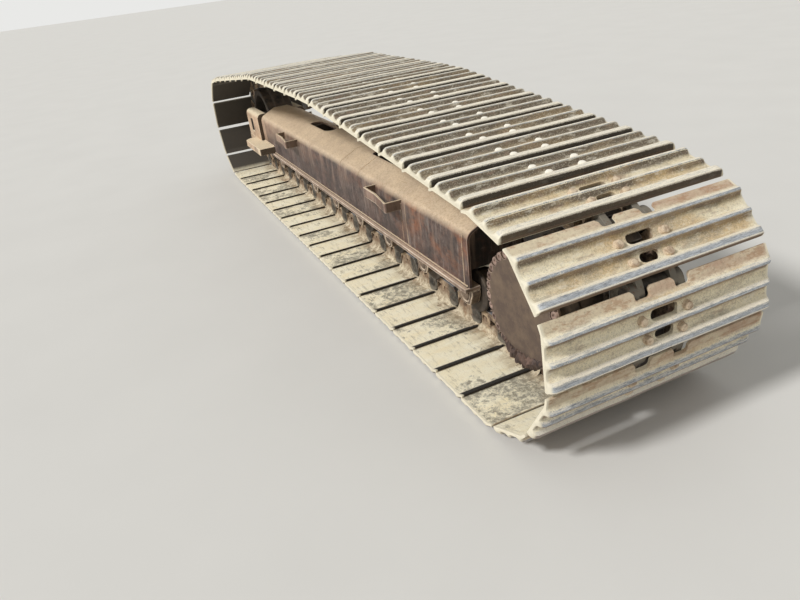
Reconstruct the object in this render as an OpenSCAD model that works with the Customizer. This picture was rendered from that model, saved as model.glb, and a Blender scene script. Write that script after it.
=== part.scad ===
// Crawler track unit of a hydraulic excavator, left-hand side.
// +X points to the idler, +Y outboard, +Z up. The origin is on the ground under the middle of the track.

/* [Chain and shoes] */
// Distance between two pins of the chain
link_pitch = 190; // [184:1:196]
// Number of links, and of shoes, in the loop
link_count = 49; // [47:1:52]
// Height of a link from the rail that the rollers run on to the seat of the shoe
link_height = 100; // [94:1:106]
// Height from a pin's axis to the seat of the shoe
pin_to_seat = 46; // [42:1:50]
// Width of each of the two rows of links
rail_width = 46; // [36:1:56]
// Clear gap between the two rows of links
rail_gap = 96; // [84:1:104]
// Diameter of the bushes between the rows
bush_diameter = 56; // [48:1:58]
// Width of a shoe across the track
shoe_width = 800; // [600:10:900]
// Thickness of a shoe's plate
shoe_plate = 10; // [8:1:14]
// Height of the three bars on a shoe, over its plate
grouser_height = 22; // [15:1:30]
// Distance between two bars of one shoe
grouser_spacing = 68; // [62:1:70]
// Distance of a shoe's leading bar from the middle of its link
grouser_lead = 75; // [70:1:78]
// Thickness of a bar at its tip
grouser_tip = 12; // [8:1:16]
// Thickness of a bar at its foot
grouser_foot = 36; // [30:1:40]
// Distance of a shoe's rear edge behind its last bar
shoe_tail = 15; // [10:1:18]
// Length of a shoe's bent front edge under the rear edge of the next shoe
shoe_lap = 7; // [3:1:10]
// Play between a shoe's bent front edge and the next shoe
shoe_play = 2; // [1:1:4]

/* [Drive] */
// Teeth of the sprocket, of which every second gap takes a bush
sprocket_teeth = 20; // [19:1:21]
// Thickness of the sprocket's ring
sprocket_thickness = 62; // [50:1:70]
// Height of the teeth over the bush circle
tooth_height = 14; // [8:1:18]
// Radius of the drive's turning housing
housing_radius = 176; // [150:1:190]
// Radius of the bolted cover
cover_radius = 192; // [180:1:200]
// Distance of the cover's outer face from the middle of the track
cover_reach = 245; // [225:1:265]
// Thickness of the cover
cover_thickness = 26; // [16:1:36]
// Radius of the travel motor
motor_radius = 105; // [90:1:125]
// Length of the travel motor
motor_length = 150; // [110:1:170]

/* [Idler] */
// Radius of the idler's two treads
idler_radius = 245; // [225:1:260]
// Height of the idler's middle flange over its treads
idler_flange = 22; // [12:1:30]
// Width of the idler's middle flange
idler_flange_width = 84; // [70:1:84]
// Radius of the idler's shaft
idler_shaft_radius = 42; // [34:1:50]
// Length of a bearing block along the track
block_length = 350; // [300:5:360]
// Height of a bearing block over the shaft's axis
block_rise = 104; // [90:1:110]
// Depth of a bearing block under the shaft's axis
block_drop = 88; // [80:1:92]
// Distance of a bearing block's outer face from the middle of the track
block_reach = 188; // [180:1:194]

/* [Rollers] */
// Radius of a bottom roller's tread
roller_radius = 78; // [70:1:84]
// Radius of a bottom roller's outer flanges
roller_flange_radius = 92; // [86:1:98]
// Radius of a carrier roller's tread
carrier_radius = 62; // [54:1:66]
// Height of a carrier roller's axis over the ground
carrier_height = 712; // [695:1:730]
// Distance from the sprocket's axis to the rear carrier roller
carrier_from_sprocket = 1420; // [1300:10:1500]
// Distance from the idler's axis to the front carrier roller
carrier_from_idler = 1200; // [1100:10:1400]
// Distance from the sprocket's axis to the rearmost bottom roller
roller_from_sprocket = 508; // [500:1:540]
// Distance from the idler's axis to the foremost bottom roller
roller_from_idler = 585; // [560:1:620]

/* [Track frame] */
// Half the width of the box beam
beam_half_width = 165; // [160:1:175]
// Thickness of the beam's walls
beam_wall = 12; // [8:1:16]
// Height of the shoulder's fillet centre over the ground
shoulder_height = 446; // [430:1:455]
// Radius of the shoulder
shoulder_radius = 45; // [30:1:60]
// Slope of the beam's top, in degrees
top_slope = 25; // [15:1:28]
// Half the width of the flat along the beam's ridge
ridge_half_width = 50; // [42:1:60]
// Thickness of the lower flanges
flange_thickness = 16; // [12:1:20]
// Distance of a lower flange's outer edge from the middle of the track
flange_reach = 186; // [184:1:200]
// Gap between the sprocket's axis and the beam's rear end
beam_from_sprocket = 450; // [440:1:480]
// Gap between the idler's axis and the beam's front end
beam_from_idler = 225; // [215:1:260]
// Width of the gap between the beam and the bearing blocks
block_gap = 16; // [8:1:24]
// Length of the rear opening in the ridge
rear_slot_length = 420; // [300:10:500]
// Length of the front opening in the ridge
front_slot_length = 330; // [260:10:450]
// Width of the openings in the ridge
slot_width = 76; // [50:1:80]

/* [Steps and guide plates] */
// Length of a step along the wall
step_length = 300; // [260:10:360]
// Reach of a step's rear end from the wall
step_reach = 80; // [66:1:95]
// Reach of a step's front end from the wall
step_front_reach = 58; // [45:1:66]
// Height of a step
step_height = 46; // [36:1:56]
// Height of a step's top edge over the centre of the shoulder's round
step_rise = 20; // [10:1:26]
// Thickness of a step's plates
step_plate = 10; // [6:1:14]
// Distance from the sprocket's axis to the rear step's gusset
step_from_sprocket = 1015; // [900:5:1100]
// Distance from the idler's axis to the front step's gusset
step_from_idler = 1130; // [1050:5:1250]
// Reach of the front guide plates from the middle of the track
guide_reach = 278; // [250:1:300]
// Thickness of the front guide plates
guide_thickness = 46; // [30:1:55]
// Length of the front guide plates
guide_length = 450; // [400:5:480]

/* [Mounting to the car body] */
// Distance between the two mounting pads
pad_spacing = 1500; // [1300:10:1700]
// Length of a mounting pad along the track
pad_length = 420; // [360:5:460]
// Height of a mounting pad
pad_height = 190; // [170:1:200]
// Depth of a mounting pad from the beam's inboard wall to its face
pad_depth = 130; // [90:1:150]
// Distance between the pad's bolts along the track
pad_bolt_x = 320; // [280:1:330]
// Distance between the pad's bolts upwards
pad_bolt_z = 110; // [90:1:120]
// Radius of the pad's bolt holes
pad_hole_radius = 13.5; // [11:0.5:17]

/* [Hidden] */
seat = 0.3;
roller_count = 8;

// Heights that follow from the shoe, the link and the wheels that they run round
pin_z = grouser_height + shoe_plate + pin_to_seat;
rail_z = pin_z + link_height - pin_to_seat;
links_per_turn = sprocket_teeth / 2;
sprocket_pitch_radius = link_pitch / 2 / sin(180 / links_per_turn);
sprocket_z = pin_z + sprocket_pitch_radius;
idler_rail = idler_radius + seat + link_height - pin_to_seat;
idler_pin_radius = sqrt(pow(idler_rail, 2) + pow(link_pitch / 2, 2));
idler_z = pin_z + idler_pin_radius;
carrier_play = 5;
full_turn = 360;
carrier_pin_radius = carrier_radius + link_height - pin_to_seat + carrier_play;
roller_z = rail_z + roller_radius;

// The pins' path is a belt round four wheels: sprocket, two carrier rollers and idler.
// Each wheel is [x from the sprocket's axis, z, radius].
function wheels(reach) = [
    [0, sprocket_z, sprocket_pitch_radius],
    [carrier_from_sprocket, carrier_height, carrier_pin_radius],
    [reach - carrier_from_idler, carrier_height, carrier_pin_radius],
    [reach, pin_z + idler_pin_radius, idler_pin_radius]
];
function gap2(a, b) = norm([b[0] - a[0], b[1] - a[1]]);
// Angle of the belt's outward normal between two wheels that it runs round clockwise
function normal_angle(a, b) = atan2(b[1] - a[1], b[0] - a[0]) + acos((a[2] - b[2]) / gap2(a, b));
function on_wheel(w, angle) = [w[0] + w[2] * cos(angle), w[1] + w[2] * sin(angle)];
function run_length(a, b) = sqrt(pow(gap2(a, b), 2) - pow(a[2] - b[2], 2));
function turn(from, to) = (from - to + 2 * full_turn) % full_turn;
// A stretch is [wheel, start angle, turn] on a wheel or [start point, end point] between two
start_angle = 156.7;
function belt(w) = let (
        n = [for (i = [0:3]) normal_angle(w[i], w[(i + 1) % 4])],
        bottom = n[3]
    ) [
        [w[0], start_angle, turn(start_angle, n[0])],
        [on_wheel(w[0], n[0]), on_wheel(w[1], n[0])],
        [w[1], n[0], turn(n[0], n[1])],
        [on_wheel(w[1], n[1]), on_wheel(w[2], n[1])],
        [w[2], n[1], turn(n[1], n[2])],
        [on_wheel(w[2], n[2]), on_wheel(w[3], n[2])],
        [w[3], n[2], turn(n[2], bottom)],
        [on_wheel(w[3], bottom), on_wheel(w[0], bottom)],
        [w[0], bottom, turn(bottom, start_angle)]
    ];
function stretch_length(s) = len(s) == 3 ? s[0][2] * s[2] * PI / 180 : norm(s[1] - s[0]);
function sum(v, i = 0) = i < len(v) ? v[i] + sum(v, i + 1) : 0;
function belt_length(b) = sum([for (s = b) stretch_length(s)]);
function along(s, d) = len(s) == 3
    ? on_wheel(s[0], s[1] - d / s[0][2] * 180 / PI)
    : s[0] + (s[1] - s[0]) * d / norm(s[1] - s[0]);
function belt_point(b, d, i = 0) = i == len(b) - 1 || d <= stretch_length(b[i])
    ? along(b[i], d)
    : belt_point(b, d - stretch_length(b[i]), i + 1);
// Straight links take more of the path round a wheel than their own length
function round_excess(radius, angle) =
    radius * angle * PI / 180 - angle / (2 * asin(link_pitch / 2 / radius)) * link_pitch;
function links_length(b) = belt_length(b)
    - round_excess(sprocket_pitch_radius, b[0][2] + b[8][2])
    - round_excess(idler_pin_radius, b[6][2]);
// The tensioner moves the idler out until the loop is full
function tensioned(reach, tries) = tries == 0
    ? reach
    : tensioned(reach + (link_count * link_pitch - links_length(belt(wheels(reach)))) / 2, tries - 1);
stretched_reach = (link_count * link_pitch - 2 * PI * sprocket_pitch_radius) / 2;
axle_distance = tensioned(stretched_reach, 8);
path = belt(wheels(axle_distance));
path_length = belt_length(path);
function step_on(b, d, pitch, guess, tries) = tries == 0
    ? guess
    : step_on(b, d, pitch, guess + pitch - norm(belt_point(b, d + guess) - belt_point(b, d)), tries - 1);
function stations(b, pitch, count, d = 0) = count == 0
    ? [d]
    : concat([d], stations(b, pitch, count - 1, d + step_on(b, d, pitch, pitch, 5)));
true_pitch = link_pitch * path_length / stations(path, link_pitch, link_count)[link_count];
pin_stations = stations(path, true_pitch, link_count - 1);
pins = [for (d = pin_stations) belt_point(path, d)];
function pin(i) = pins[(i + link_count) % link_count];
// Link i runs from pin i to pin i + 1. Its outward normal points away from the loop.
function link_middle(i) = (pin(i) + pin(i + 1)) / 2;
function link_direction(i) = (pin(i + 1) - pin(i)) / norm(pin(i + 1) - pin(i));
function link_normal(i) = let (u = link_direction(i)) [-u[1], u[0]];
function on_link(i, along, out) = link_middle(i) + along * link_direction(i) + out * link_normal(i);
function pin_normal(i) = let (n = link_normal(i - 1) + link_normal(i)) n / norm(n);
// Distance out along a pin's normal that meets two neighbouring offsets of the same size
function mitre(i, out) = out / (pin_normal(i) * link_normal(i));

// Outline of one shoe in its link's own directions. The chain's travel direction is -along.
shoe_top = pin_to_seat + shoe_plate;
shoe_tip = shoe_top + grouser_height;
bars = [for (i = [2:-1:0]) grouser_lead - i * grouser_spacing];
shoe_rear = bars[0] - shoe_tail;
shoe_bend = bars[2] + grouser_foot / 2;
shoe_front = shoe_rear + link_pitch + shoe_lap;
flange_drop = shoe_plate + shoe_play;
function bar(at, behind) = [
    [at - behind, shoe_top], [at - grouser_tip / 2, shoe_tip],
    [at + grouser_tip / 2, shoe_tip], [at + grouser_foot / 2, shoe_top]
];
// The shoes lap over each other, so their outer and inner outlines run on from shoe to shoe
lap_start = shoe_rear + link_pitch;
lap_height = shoe_top - flange_drop * (lap_start - shoe_bend) / (shoe_front - shoe_bend);
shoe_outer = concat(
    bar(bars[0], shoe_tail), bar(bars[1], grouser_foot / 2), bar(bars[2], grouser_foot / 2),
    [[lap_start, lap_height]]
);
shoe_inner = [
    [shoe_front - link_pitch, pin_to_seat], [shoe_bend, pin_to_seat], [shoe_front, pin_to_seat - flange_drop]
];

// The loop's ends, from which the part's own origin follows
tips = [for (i = [0:link_count - 1]) for (p = shoe_outer) on_link(i, p[0], p[1])[0]];
sprocket_x = -(min(tips) + max(tips)) / 2;
idler_x = sprocket_x + axle_distance;

// Beam section
beam_rear = sprocket_x + beam_from_sprocket;
beam_front = idler_x - beam_from_idler;
flange_bottom = roller_z + 30;
flange_top = flange_bottom + flange_thickness;
flange_inner = 118;
roller_clear = roller_z + roller_flange_radius + 8;
fillet_y = beam_half_width - shoulder_radius;
ridge_z = shoulder_height + shoulder_radius * cos(top_slope)
    + (fillet_y + shoulder_radius * sin(top_slope) - ridge_half_width) * tan(top_slope);
function ridge_edge(inset) = fillet_y + (shoulder_radius - inset) * sin(top_slope)
    - (ridge_z - inset - shoulder_height - (shoulder_radius - inset) * cos(top_slope)) / tan(top_slope);
// Right half of the beam's outline, from the flange up over the shoulder to the ridge
function half_section(inset, foot) = concat(
    [[beam_half_width - inset, foot]],
    [for (a = [0:13:90 - top_slope]) [
        fillet_y + (shoulder_radius - inset) * cos(a),
        shoulder_height + (shoulder_radius - inset) * sin(a)
    ]],
    [[ridge_edge(inset), ridge_z - inset]]
);
function mirrored(points) = [for (i = [len(points) - 1:-1:0]) [-points[i][0], points[i][1]]];
function section(inset, foot) = concat(half_section(inset, foot), mirrored(half_section(inset, foot)));

// Places along the beam and across it
block_rear = beam_front + block_gap;
block_front = block_rear + block_length;
flange_front = block_front + 20;
block_bottom = idler_z - block_drop - seat;
block_top = idler_z + block_rise;
block_fillet = 38;
shaft_end = block_reach - 16;
hub_half = flange_inner - 14;
yoke_back = idler_x - idler_radius - idler_flange - 30;
boss_length = 40;
yoke_front = yoke_back - boss_length - 20;
spring_length = 480;
spring_radius = idler_z - roller_clear;
cylinder_length = 230;
cylinder_radius = 50;
rail_side_play = 3;
carrier_shaft_radius = 26;
bracket_near = 118;
bracket_far = 148;
mount_face = beam_half_width - 25;
mount_radius = 212;
hub_radius = 150;
spigot_radius = 120;
pad_middle = (beam_rear + beam_front) / 2;
pad_z = flange_top + pad_height / 2;

frame_colour = [0.36, 0.27, 0.22];
shoe_colour = [0.66, 0.61, 0.50];
dark_steel = [0.25, 0.21, 0.20];

// Extrudes an outline in the YZ plane along X
module along_x(from, length) {
    translate([from, 0, 0]) rotate([90, 0, 90]) linear_extrude(length) children();
}

// Extrudes an outline in the XZ plane across the track, from one Y to another
module across(from, to) {
    translate([0, to, 0]) rotate([90, 0, 0]) linear_extrude(to - from) children();
}

// A disc or drum about an axis across the track
module drum(x, z, from, to, radius, fn = 64) {
    translate([x, to, z]) rotate([90, 0, 0]) cylinder(h = to - from, r = radius, $fn = fn);
}

// A closed band between two outlines, from one Y to another
module band(outer, inner, from, to) {
    translate([sprocket_x, 0, 0]) across(from, to) polygon(
        concat(outer, inner),
        [[for (i = [0:len(outer) - 1]) i], [for (i = [0:len(inner) - 1]) len(outer) + i]]
    );
}

module shoes() {
    outer = [for (i = [0:link_count - 1]) for (p = shoe_outer) on_link(i, p[0], p[1])];
    inner = [for (i = [0:link_count - 1]) for (p = shoe_inner) on_link(i, p[0], p[1])];
    band(outer, inner, -shoe_width / 2, shoe_width / 2);
}

// One row of links: its outer edge runs a little into the shoes and its inner edge is the rail
module link_row(from) {
    into_shoe = 0.5;
    outer = [for (i = [0:link_count - 1]) pin(i) + mitre(i, pin_to_seat + into_shoe) * pin_normal(i)];
    inner = [for (i = [0:link_count - 1]) pin(i) - mitre(i, link_height - pin_to_seat) * pin_normal(i)];
    band(outer, inner, from, from + rail_width);
}

module bushes() {
    into_link = 4;
    for (p = pins)
        drum(sprocket_x + p[0], p[1], -rail_gap / 2 - into_link, rail_gap / 2 + into_link, bush_diameter / 2, 6);
}

// The whole loop is one solid: the shoes and bushes are fused to the links that carry them
module track() {
    color(shoe_colour) {
        shoes();
        link_row(rail_gap / 2);
        link_row(-rail_gap / 2 - rail_width);
        bushes();
    }
}

module slot(x, length) {
    radius = slot_width / 2;
    middles = length - slot_width;
    translate([x - middles / 2, 0, ridge_z - 2 * beam_wall]) {
        for (end = [0, middles]) translate([end, 0, 0]) cylinder(h = 4 * beam_wall, r = radius, $fn = 32);
        translate([0, -radius, 0]) cube([middles, slot_width, 4 * beam_wall]);
    }
}

module track_frame() {
    color(frame_colour) difference() {
        along_x(beam_rear, beam_front - beam_rear) difference() {
            polygon(section(0, flange_top));
            polygon(section(beam_wall, flange_top - 1));
        }
        slot(sprocket_x + carrier_from_sprocket, rear_slot_length);
        slot(idler_x - carrier_from_idler, front_slot_length);
    }
}

// The lower flange carries the rollers' collars and runs on past the beam under the idler's block
module lower_flange() {
    color(frame_colour) translate([beam_rear, flange_inner, flange_bottom])
        cube([flange_front - beam_rear, flange_reach - flange_inner, flange_thickness]);
}

module flange_outboard() {
    lower_flange();
}

module flange_inboard() {
    mirror([0, 1, 0]) lower_flange();
}

module rear_bulkhead() {
    color(dark_steel) along_x(beam_rear + 40, beam_wall) polygon(section(beam_wall + seat, roller_clear));
}

// A step is a bent strap on two gussets that follow the beam's wall and shoulder
module step(gusset_x) {
    wall = beam_half_width;
    top = shoulder_height + step_rise;
    bend = 0.55 * step_length;
    rear_y = wall + step_reach;
    front_y = wall + step_front_reach;
    color(frame_colour) difference() {
        translate([gusset_x, 0, top - step_height]) linear_extrude(step_height) polygon([
            [0, fillet_y], [0, rear_y], [bend, front_y], [step_length, front_y], [step_length, fillet_y],
            [step_length - step_plate, fillet_y], [step_length - step_plate, front_y - step_plate],
            [bend, front_y - step_plate], [step_plate, rear_y - step_plate], [step_plate, fillet_y]
        ]);
        along_x(gusset_x - 1, step_length + 2) polygon(section(-seat, flange_top));
    }
}

module step_rear() {
    step(sprocket_x + step_from_sprocket);
}

module step_front() {
    step(idler_x - step_from_idler);
}

// The guide plate reaches out past the beam and carries the rib that the idler's block slides on
module guide_plate() {
    behind_gap = 264;
    rear = beam_front - behind_gap;
    front = rear + guide_length;
    corner = 36;
    color(frame_colour) {
        translate([0, 0, block_bottom - guide_thickness]) linear_extrude(guide_thickness) polygon([
            [rear, beam_half_width], [rear, guide_reach], [front - corner, guide_reach],
            [front, guide_reach - corner], [front, beam_half_width]
        ]);
        translate([beam_front, flange_inner, flange_top])
            cube([flange_front - beam_front, flange_reach - flange_inner, block_bottom - flange_top]);
    }
}

module guide_plate_outboard() {
    guide_plate();
}

module guide_plate_inboard() {
    mirror([0, 1, 0]) guide_plate();
}

// The bearing block follows the beam's shoulder and holds the idler's shaft
module idler_block() {
    keyway = [26, 9, 96];
    behind_axis = 34;
    color(frame_colour) difference() {
        along_x(block_rear, block_length) polygon(concat(
            [[flange_inner, block_bottom + seat], [block_reach, block_bottom + seat]],
            [for (a = [0:15:90]) [
                block_reach - block_fillet + block_fillet * cos(a),
                block_top - block_fillet + block_fillet * sin(a)
            ]],
            [[flange_inner, block_top]]
        ));
        drum(idler_x, idler_z, flange_inner - 1, shaft_end + seat, idler_shaft_radius + seat);
        translate([idler_x - behind_axis, block_reach - keyway[1], idler_z - keyway[2] / 2])
            cube([keyway[0], 2 * keyway[1], keyway[2]]);
    }
}

module idler_block_outboard() {
    idler_block();
}

module idler_block_inboard() {
    mirror([0, 1, 0]) idler_block();
}

// A wheel turned about an axis across the track, from its radii and half widths
module turned(x, z, outline, fn = 96) {
    translate([x, 0, z]) rotate([90, 0, 0]) rotate_extrude($fn = fn) polygon(outline);
}

module idler_wheel() {
    rim = idler_radius - 42;
    tread = rail_gap / 2 + rail_width + rail_side_play;
    middle = idler_flange_width / 2;
    web = 14;
    hub = idler_shaft_radius + 30;
    bore = idler_shaft_radius + seat;
    half = [
        [bore, hub_half], [hub, hub_half], [hub + 20, web], [rim - 14, web], [rim, tread - 12],
        [rim, tread], [idler_radius, tread], [idler_radius, middle], [idler_radius + idler_flange, middle - 6]
    ];
    color(dark_steel) turned(idler_x, idler_z,
        concat(half, [for (i = [len(half) - 1:-1:0]) [half[i][0], -half[i][1]]]));
}

module idler_shaft() {
    color(dark_steel) drum(idler_x, idler_z, -shaft_end, shaft_end, idler_shaft_radius);
}

// The yoke holds both blocks and pushes them out over the recoil spring
module adjuster_yoke() {
    arm = flange_inner - seat - hub_half - seat;
    reach = flange_inner - seat;
    eye = idler_shaft_radius + 22;
    arm_height = 80;
    back_height = 90;
    back = 24;
    boss_radius = 32;
    color(dark_steel) difference() {
        union() {
            for (y = [-reach, reach - arm]) {
                translate([yoke_back - back, y, idler_z - arm_height / 2])
                    cube([idler_x - yoke_back + back, arm, arm_height]);
                drum(idler_x, idler_z, y, y + arm, eye);
            }
            translate([yoke_back - back, -reach, idler_z - back_height / 2]) cube([back, 2 * reach, back_height]);
            translate([yoke_front, 0, idler_z]) rotate([0, 90, 0]) cylinder(h = boss_length, r = boss_radius, $fn = 48);
        }
        drum(idler_x, idler_z, -reach - 1, reach + 1, idler_shaft_radius + seat);
    }
}

// The recoil spring's coils stand in a row of rounds
module recoil_spring() {
    coils = 9;
    pitch = spring_length / coils;
    groove = 14;
    outline = concat(
        [[0, 0]],
        [for (i = [0:coils - 1]) for (p = [
            [spring_radius - groove, 0], [spring_radius, 0.25], [spring_radius, 0.75], [spring_radius - groove, 1]
        ]) [p[0], (i + p[1]) * pitch]],
        [[0, spring_length]]
    );
    color([0.45, 0.20, 0.14]) translate([yoke_front - seat - spring_length, 0, idler_z])
        rotate([0, 90, 0]) rotate_extrude($fn = 48) polygon(outline);
}

// The cylinder pushes against a plate across the beam
module grease_cylinder() {
    front = yoke_front - 2 * seat - spring_length;
    back_plate = 20;
    color(dark_steel) {
        translate([front - cylinder_length, 0, idler_z]) rotate([0, 90, 0])
            cylinder(h = cylinder_length, r = cylinder_radius, $fn = 48);
        along_x(front - cylinder_length - back_plate, back_plate) polygon(section(beam_wall + seat, roller_clear));
    }
}

// A bottom roller with its shaft and the two collars that hang under the flanges
module bottom_roller(x) {
    shaft_radius = 30;
    collar_width = 40;
    collar_half = 58;
    collar_lip = 22;
    collar_foot = roller_z - shaft_radius - 10;
    round = 4;
    tread = rail_gap / 2 - 6;
    tread_end = rail_gap / 2 + rail_width + rail_side_play;
    flange_end = flange_inner - 6;
    collar_end = flange_inner + collar_width;
    half = [
        [0, collar_end + round], [shaft_radius, collar_end + round], [shaft_radius, flange_end],
        [roller_flange_radius - round, flange_end], [roller_flange_radius, flange_end - round],
        [roller_flange_radius, tread_end], [roller_radius, tread_end],
        [roller_radius, tread], [roller_radius - 14, tread - 8]
    ];
    color(dark_steel) {
        turned(x, roller_z, concat(half, [for (i = [len(half) - 1:-1:0]) [half[i][0], -half[i][1]]]), 64);
        for (side = [-1, 1]) across(side > 0 ? flange_inner : -collar_end, side > 0 ? collar_end : -flange_inner)
            polygon([
                [x - collar_half, flange_bottom], [x - collar_half, flange_bottom - collar_lip],
                [x - shaft_radius, collar_foot], [x + shaft_radius, collar_foot],
                [x + collar_half, flange_bottom - collar_lip], [x + collar_half, flange_bottom]
            ]);
    }
}

function roller_x(i) = let (
        first = sprocket_x + roller_from_sprocket,
        last = idler_x - roller_from_idler
    ) first + (last - first) * (i - 1) / (roller_count - 1);

module carrier_roller(x) {
    tread = rail_gap / 2 - 8;
    tread_end = rail_gap / 2 + rail_width + rail_side_play;
    ridge = carrier_radius + 12;
    outline = [
        [0, tread_end], [carrier_radius, tread_end], [carrier_radius, tread], [ridge, tread - 5],
        [ridge, -tread + 5], [carrier_radius, -tread], [carrier_radius, -tread_end],
        [carrier_shaft_radius, -tread_end], [carrier_shaft_radius, -bracket_far - 10], [0, -bracket_far - 10]
    ];
    color(dark_steel) turned(x, carrier_height, [for (p = outline) [p[0], -p[1]]], 64);
}

// A carrier roller's bracket stands on the beam's inboard slope and clamps the shaft
module carrier_bracket(x) {
    foot = 90;
    waist = 48;
    head = 34;
    head_z = carrier_height + 40;
    color(frame_colour) difference() {
        across(-bracket_far, -bracket_near) polygon([
            [x - foot, shoulder_height], [x + foot, shoulder_height], [x + waist, carrier_height],
            [x + head, head_z], [x - head, head_z], [x - waist, carrier_height]
        ]);
        along_x(x - foot - 1, 2 * foot + 2) polygon(section(-seat, flange_top));
        drum(x, carrier_height, -bracket_far - 1, -bracket_near + 1, carrier_shaft_radius + seat, 48);
    }
}

// Where a straight edge from a corner of the beam runs onto the round of the mounting plate
function mount_tangent(corner, side) = let (
        dx = corner[0] - sprocket_x,
        dz = corner[1] - sprocket_z,
        angle = atan2(dz, dx) + side * acos(mount_radius / norm([dx, dz])),
        radius = mount_radius - 2
    ) [sprocket_x + radius * cos(angle), sprocket_z + radius * sin(angle)];

// The plate that holds the drive runs back from the beam's inboard wall
module drive_mount() {
    top = [beam_rear, shoulder_height + shoulder_radius / 2];
    foot = [beam_rear, flange_bottom];
    color(frame_colour) difference() {
        union() {
            drum(sprocket_x, sprocket_z, -beam_half_width, -mount_face, mount_radius, 96);
            across(-beam_half_width, -mount_face)
                polygon([mount_tangent(top, 1), top, foot, mount_tangent(foot, -1)]);
        }
        drum(sprocket_x, sprocket_z, -beam_half_width - 1, -mount_face + 1, motor_radius + 12);
    }
}

module drive_hub() {
    color(dark_steel) difference() {
        union() {
            drum(sprocket_x, sprocket_z, -mount_face, -sprocket_thickness / 2 - seat, hub_radius);
            drum(sprocket_x, sprocket_z, -mount_face, -mount_face + 24, mount_radius - 12);
        }
        drum(sprocket_x, sprocket_z, -mount_face - 1, -mount_face + 10, motor_radius + 12);
    }
}

module drive_housing() {
    flange = 22;
    flange_radius = housing_radius + 34;
    color(dark_steel) {
        drum(sprocket_x, sprocket_z, sprocket_thickness / 2, cover_reach - cover_thickness, housing_radius);
        drum(sprocket_x, sprocket_z, sprocket_thickness / 2, sprocket_thickness / 2 + flange, flange_radius);
        drum(sprocket_x, sprocket_z, -sprocket_thickness / 2, sprocket_thickness / 2, spigot_radius);
    }
}

// The cover's face stands a little over its bolted rim
module drive_cover() {
    bolted_rim = 30;
    rim_drop = 6;
    color([0.38, 0.30, 0.30]) {
        drum(sprocket_x, sprocket_z, cover_reach - cover_thickness, cover_reach - rim_drop, cover_radius, 96);
        drum(sprocket_x, sprocket_z, cover_reach - cover_thickness, cover_reach, cover_radius - bolted_rim, 96);
    }
}

// Every second tooth gap takes a bush of the chain
module sprocket() {
    pockets = [for (i = [0:sprocket_teeth - 1]) start_angle + i * 360 / sprocket_teeth];
    pocket = bush_diameter / 2 + 1.5;
    tip = sprocket_pitch_radius + tooth_height;
    color(dark_steel) translate([sprocket_x, 0, sprocket_z]) difference() {
        across(-sprocket_thickness / 2, sprocket_thickness / 2) difference() {
            circle(r = tip, $fn = 120);
            for (a = pockets) rotate(a) {
                translate([sprocket_pitch_radius, 0]) circle(r = pocket, $fn = 32);
                translate([sprocket_pitch_radius, -pocket * 0.92]) square([2 * tooth_height, pocket * 1.84]);
            }
            circle(r = spigot_radius + seat, $fn = 96);
        }
    }
}

module travel_motor() {
    back = mount_face - 10;
    color(dark_steel) {
        drum(sprocket_x, sprocket_z, -back - motor_length, -back - seat, motor_radius);
        drum(sprocket_x, sprocket_z, -back - motor_length - 30, -back - motor_length, motor_radius * 0.7);
    }
}

// A bent guard under the motor, welded to the mounting plate
module motor_guard() {
    outer = mount_radius - 20;
    color(frame_colour) difference() {
        drum(sprocket_x, sprocket_z, -beam_half_width - motor_length, -beam_half_width, outer);
        drum(sprocket_x, sprocket_z, -beam_half_width - motor_length - 1, -beam_half_width + 1, outer - beam_wall);
        translate([sprocket_x - outer, -beam_half_width - motor_length - 1, sprocket_z - 30])
            cube([2 * outer, motor_length + 2, 2 * outer]);
    }
}

// A box with a drilled face, where a leg of the car body is fastened
module mounting_pad(x) {
    face = 26;
    wall = beam_wall;
    face_y = -beam_half_width - pad_depth;
    z = pad_z - pad_height / 2;
    color(frame_colour) difference() {
        translate([x - pad_length / 2, face_y, z]) cube([pad_length, pad_depth, pad_height]);
        translate([x - pad_length / 2 + wall, face_y + face, z + wall])
            cube([pad_length - 2 * wall, pad_depth, pad_height - 2 * wall]);
        for (sx = [-1, 1]) for (sz = [-1, 1])
            drum(x + sx * pad_bolt_x / 2, pad_z + sz * pad_bolt_z / 2, face_y - 1, face_y + face + 1,
                pad_hole_radius, 48);
    }
}

module mounting_pad_rear() {
    mounting_pad(pad_middle - pad_spacing / 2);
}

module mounting_pad_front() {
    mounting_pad(pad_middle + pad_spacing / 2);
}

module bottom_roller_1() {
    bottom_roller(roller_x(1));
}

module bottom_roller_2() {
    bottom_roller(roller_x(2));
}

module bottom_roller_3() {
    bottom_roller(roller_x(3));
}

module bottom_roller_4() {
    bottom_roller(roller_x(4));
}

module bottom_roller_5() {
    bottom_roller(roller_x(5));
}

module bottom_roller_6() {
    bottom_roller(roller_x(6));
}

module bottom_roller_7() {
    bottom_roller(roller_x(7));
}

module bottom_roller_8() {
    bottom_roller(roller_x(8));
}

module carrier_roller_rear() {
    carrier_roller(sprocket_x + carrier_from_sprocket);
}

module carrier_bracket_rear() {
    carrier_bracket(sprocket_x + carrier_from_sprocket);
}

module carrier_roller_front() {
    carrier_roller(idler_x - carrier_from_idler);
}

module carrier_bracket_front() {
    carrier_bracket(idler_x - carrier_from_idler);
}

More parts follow.
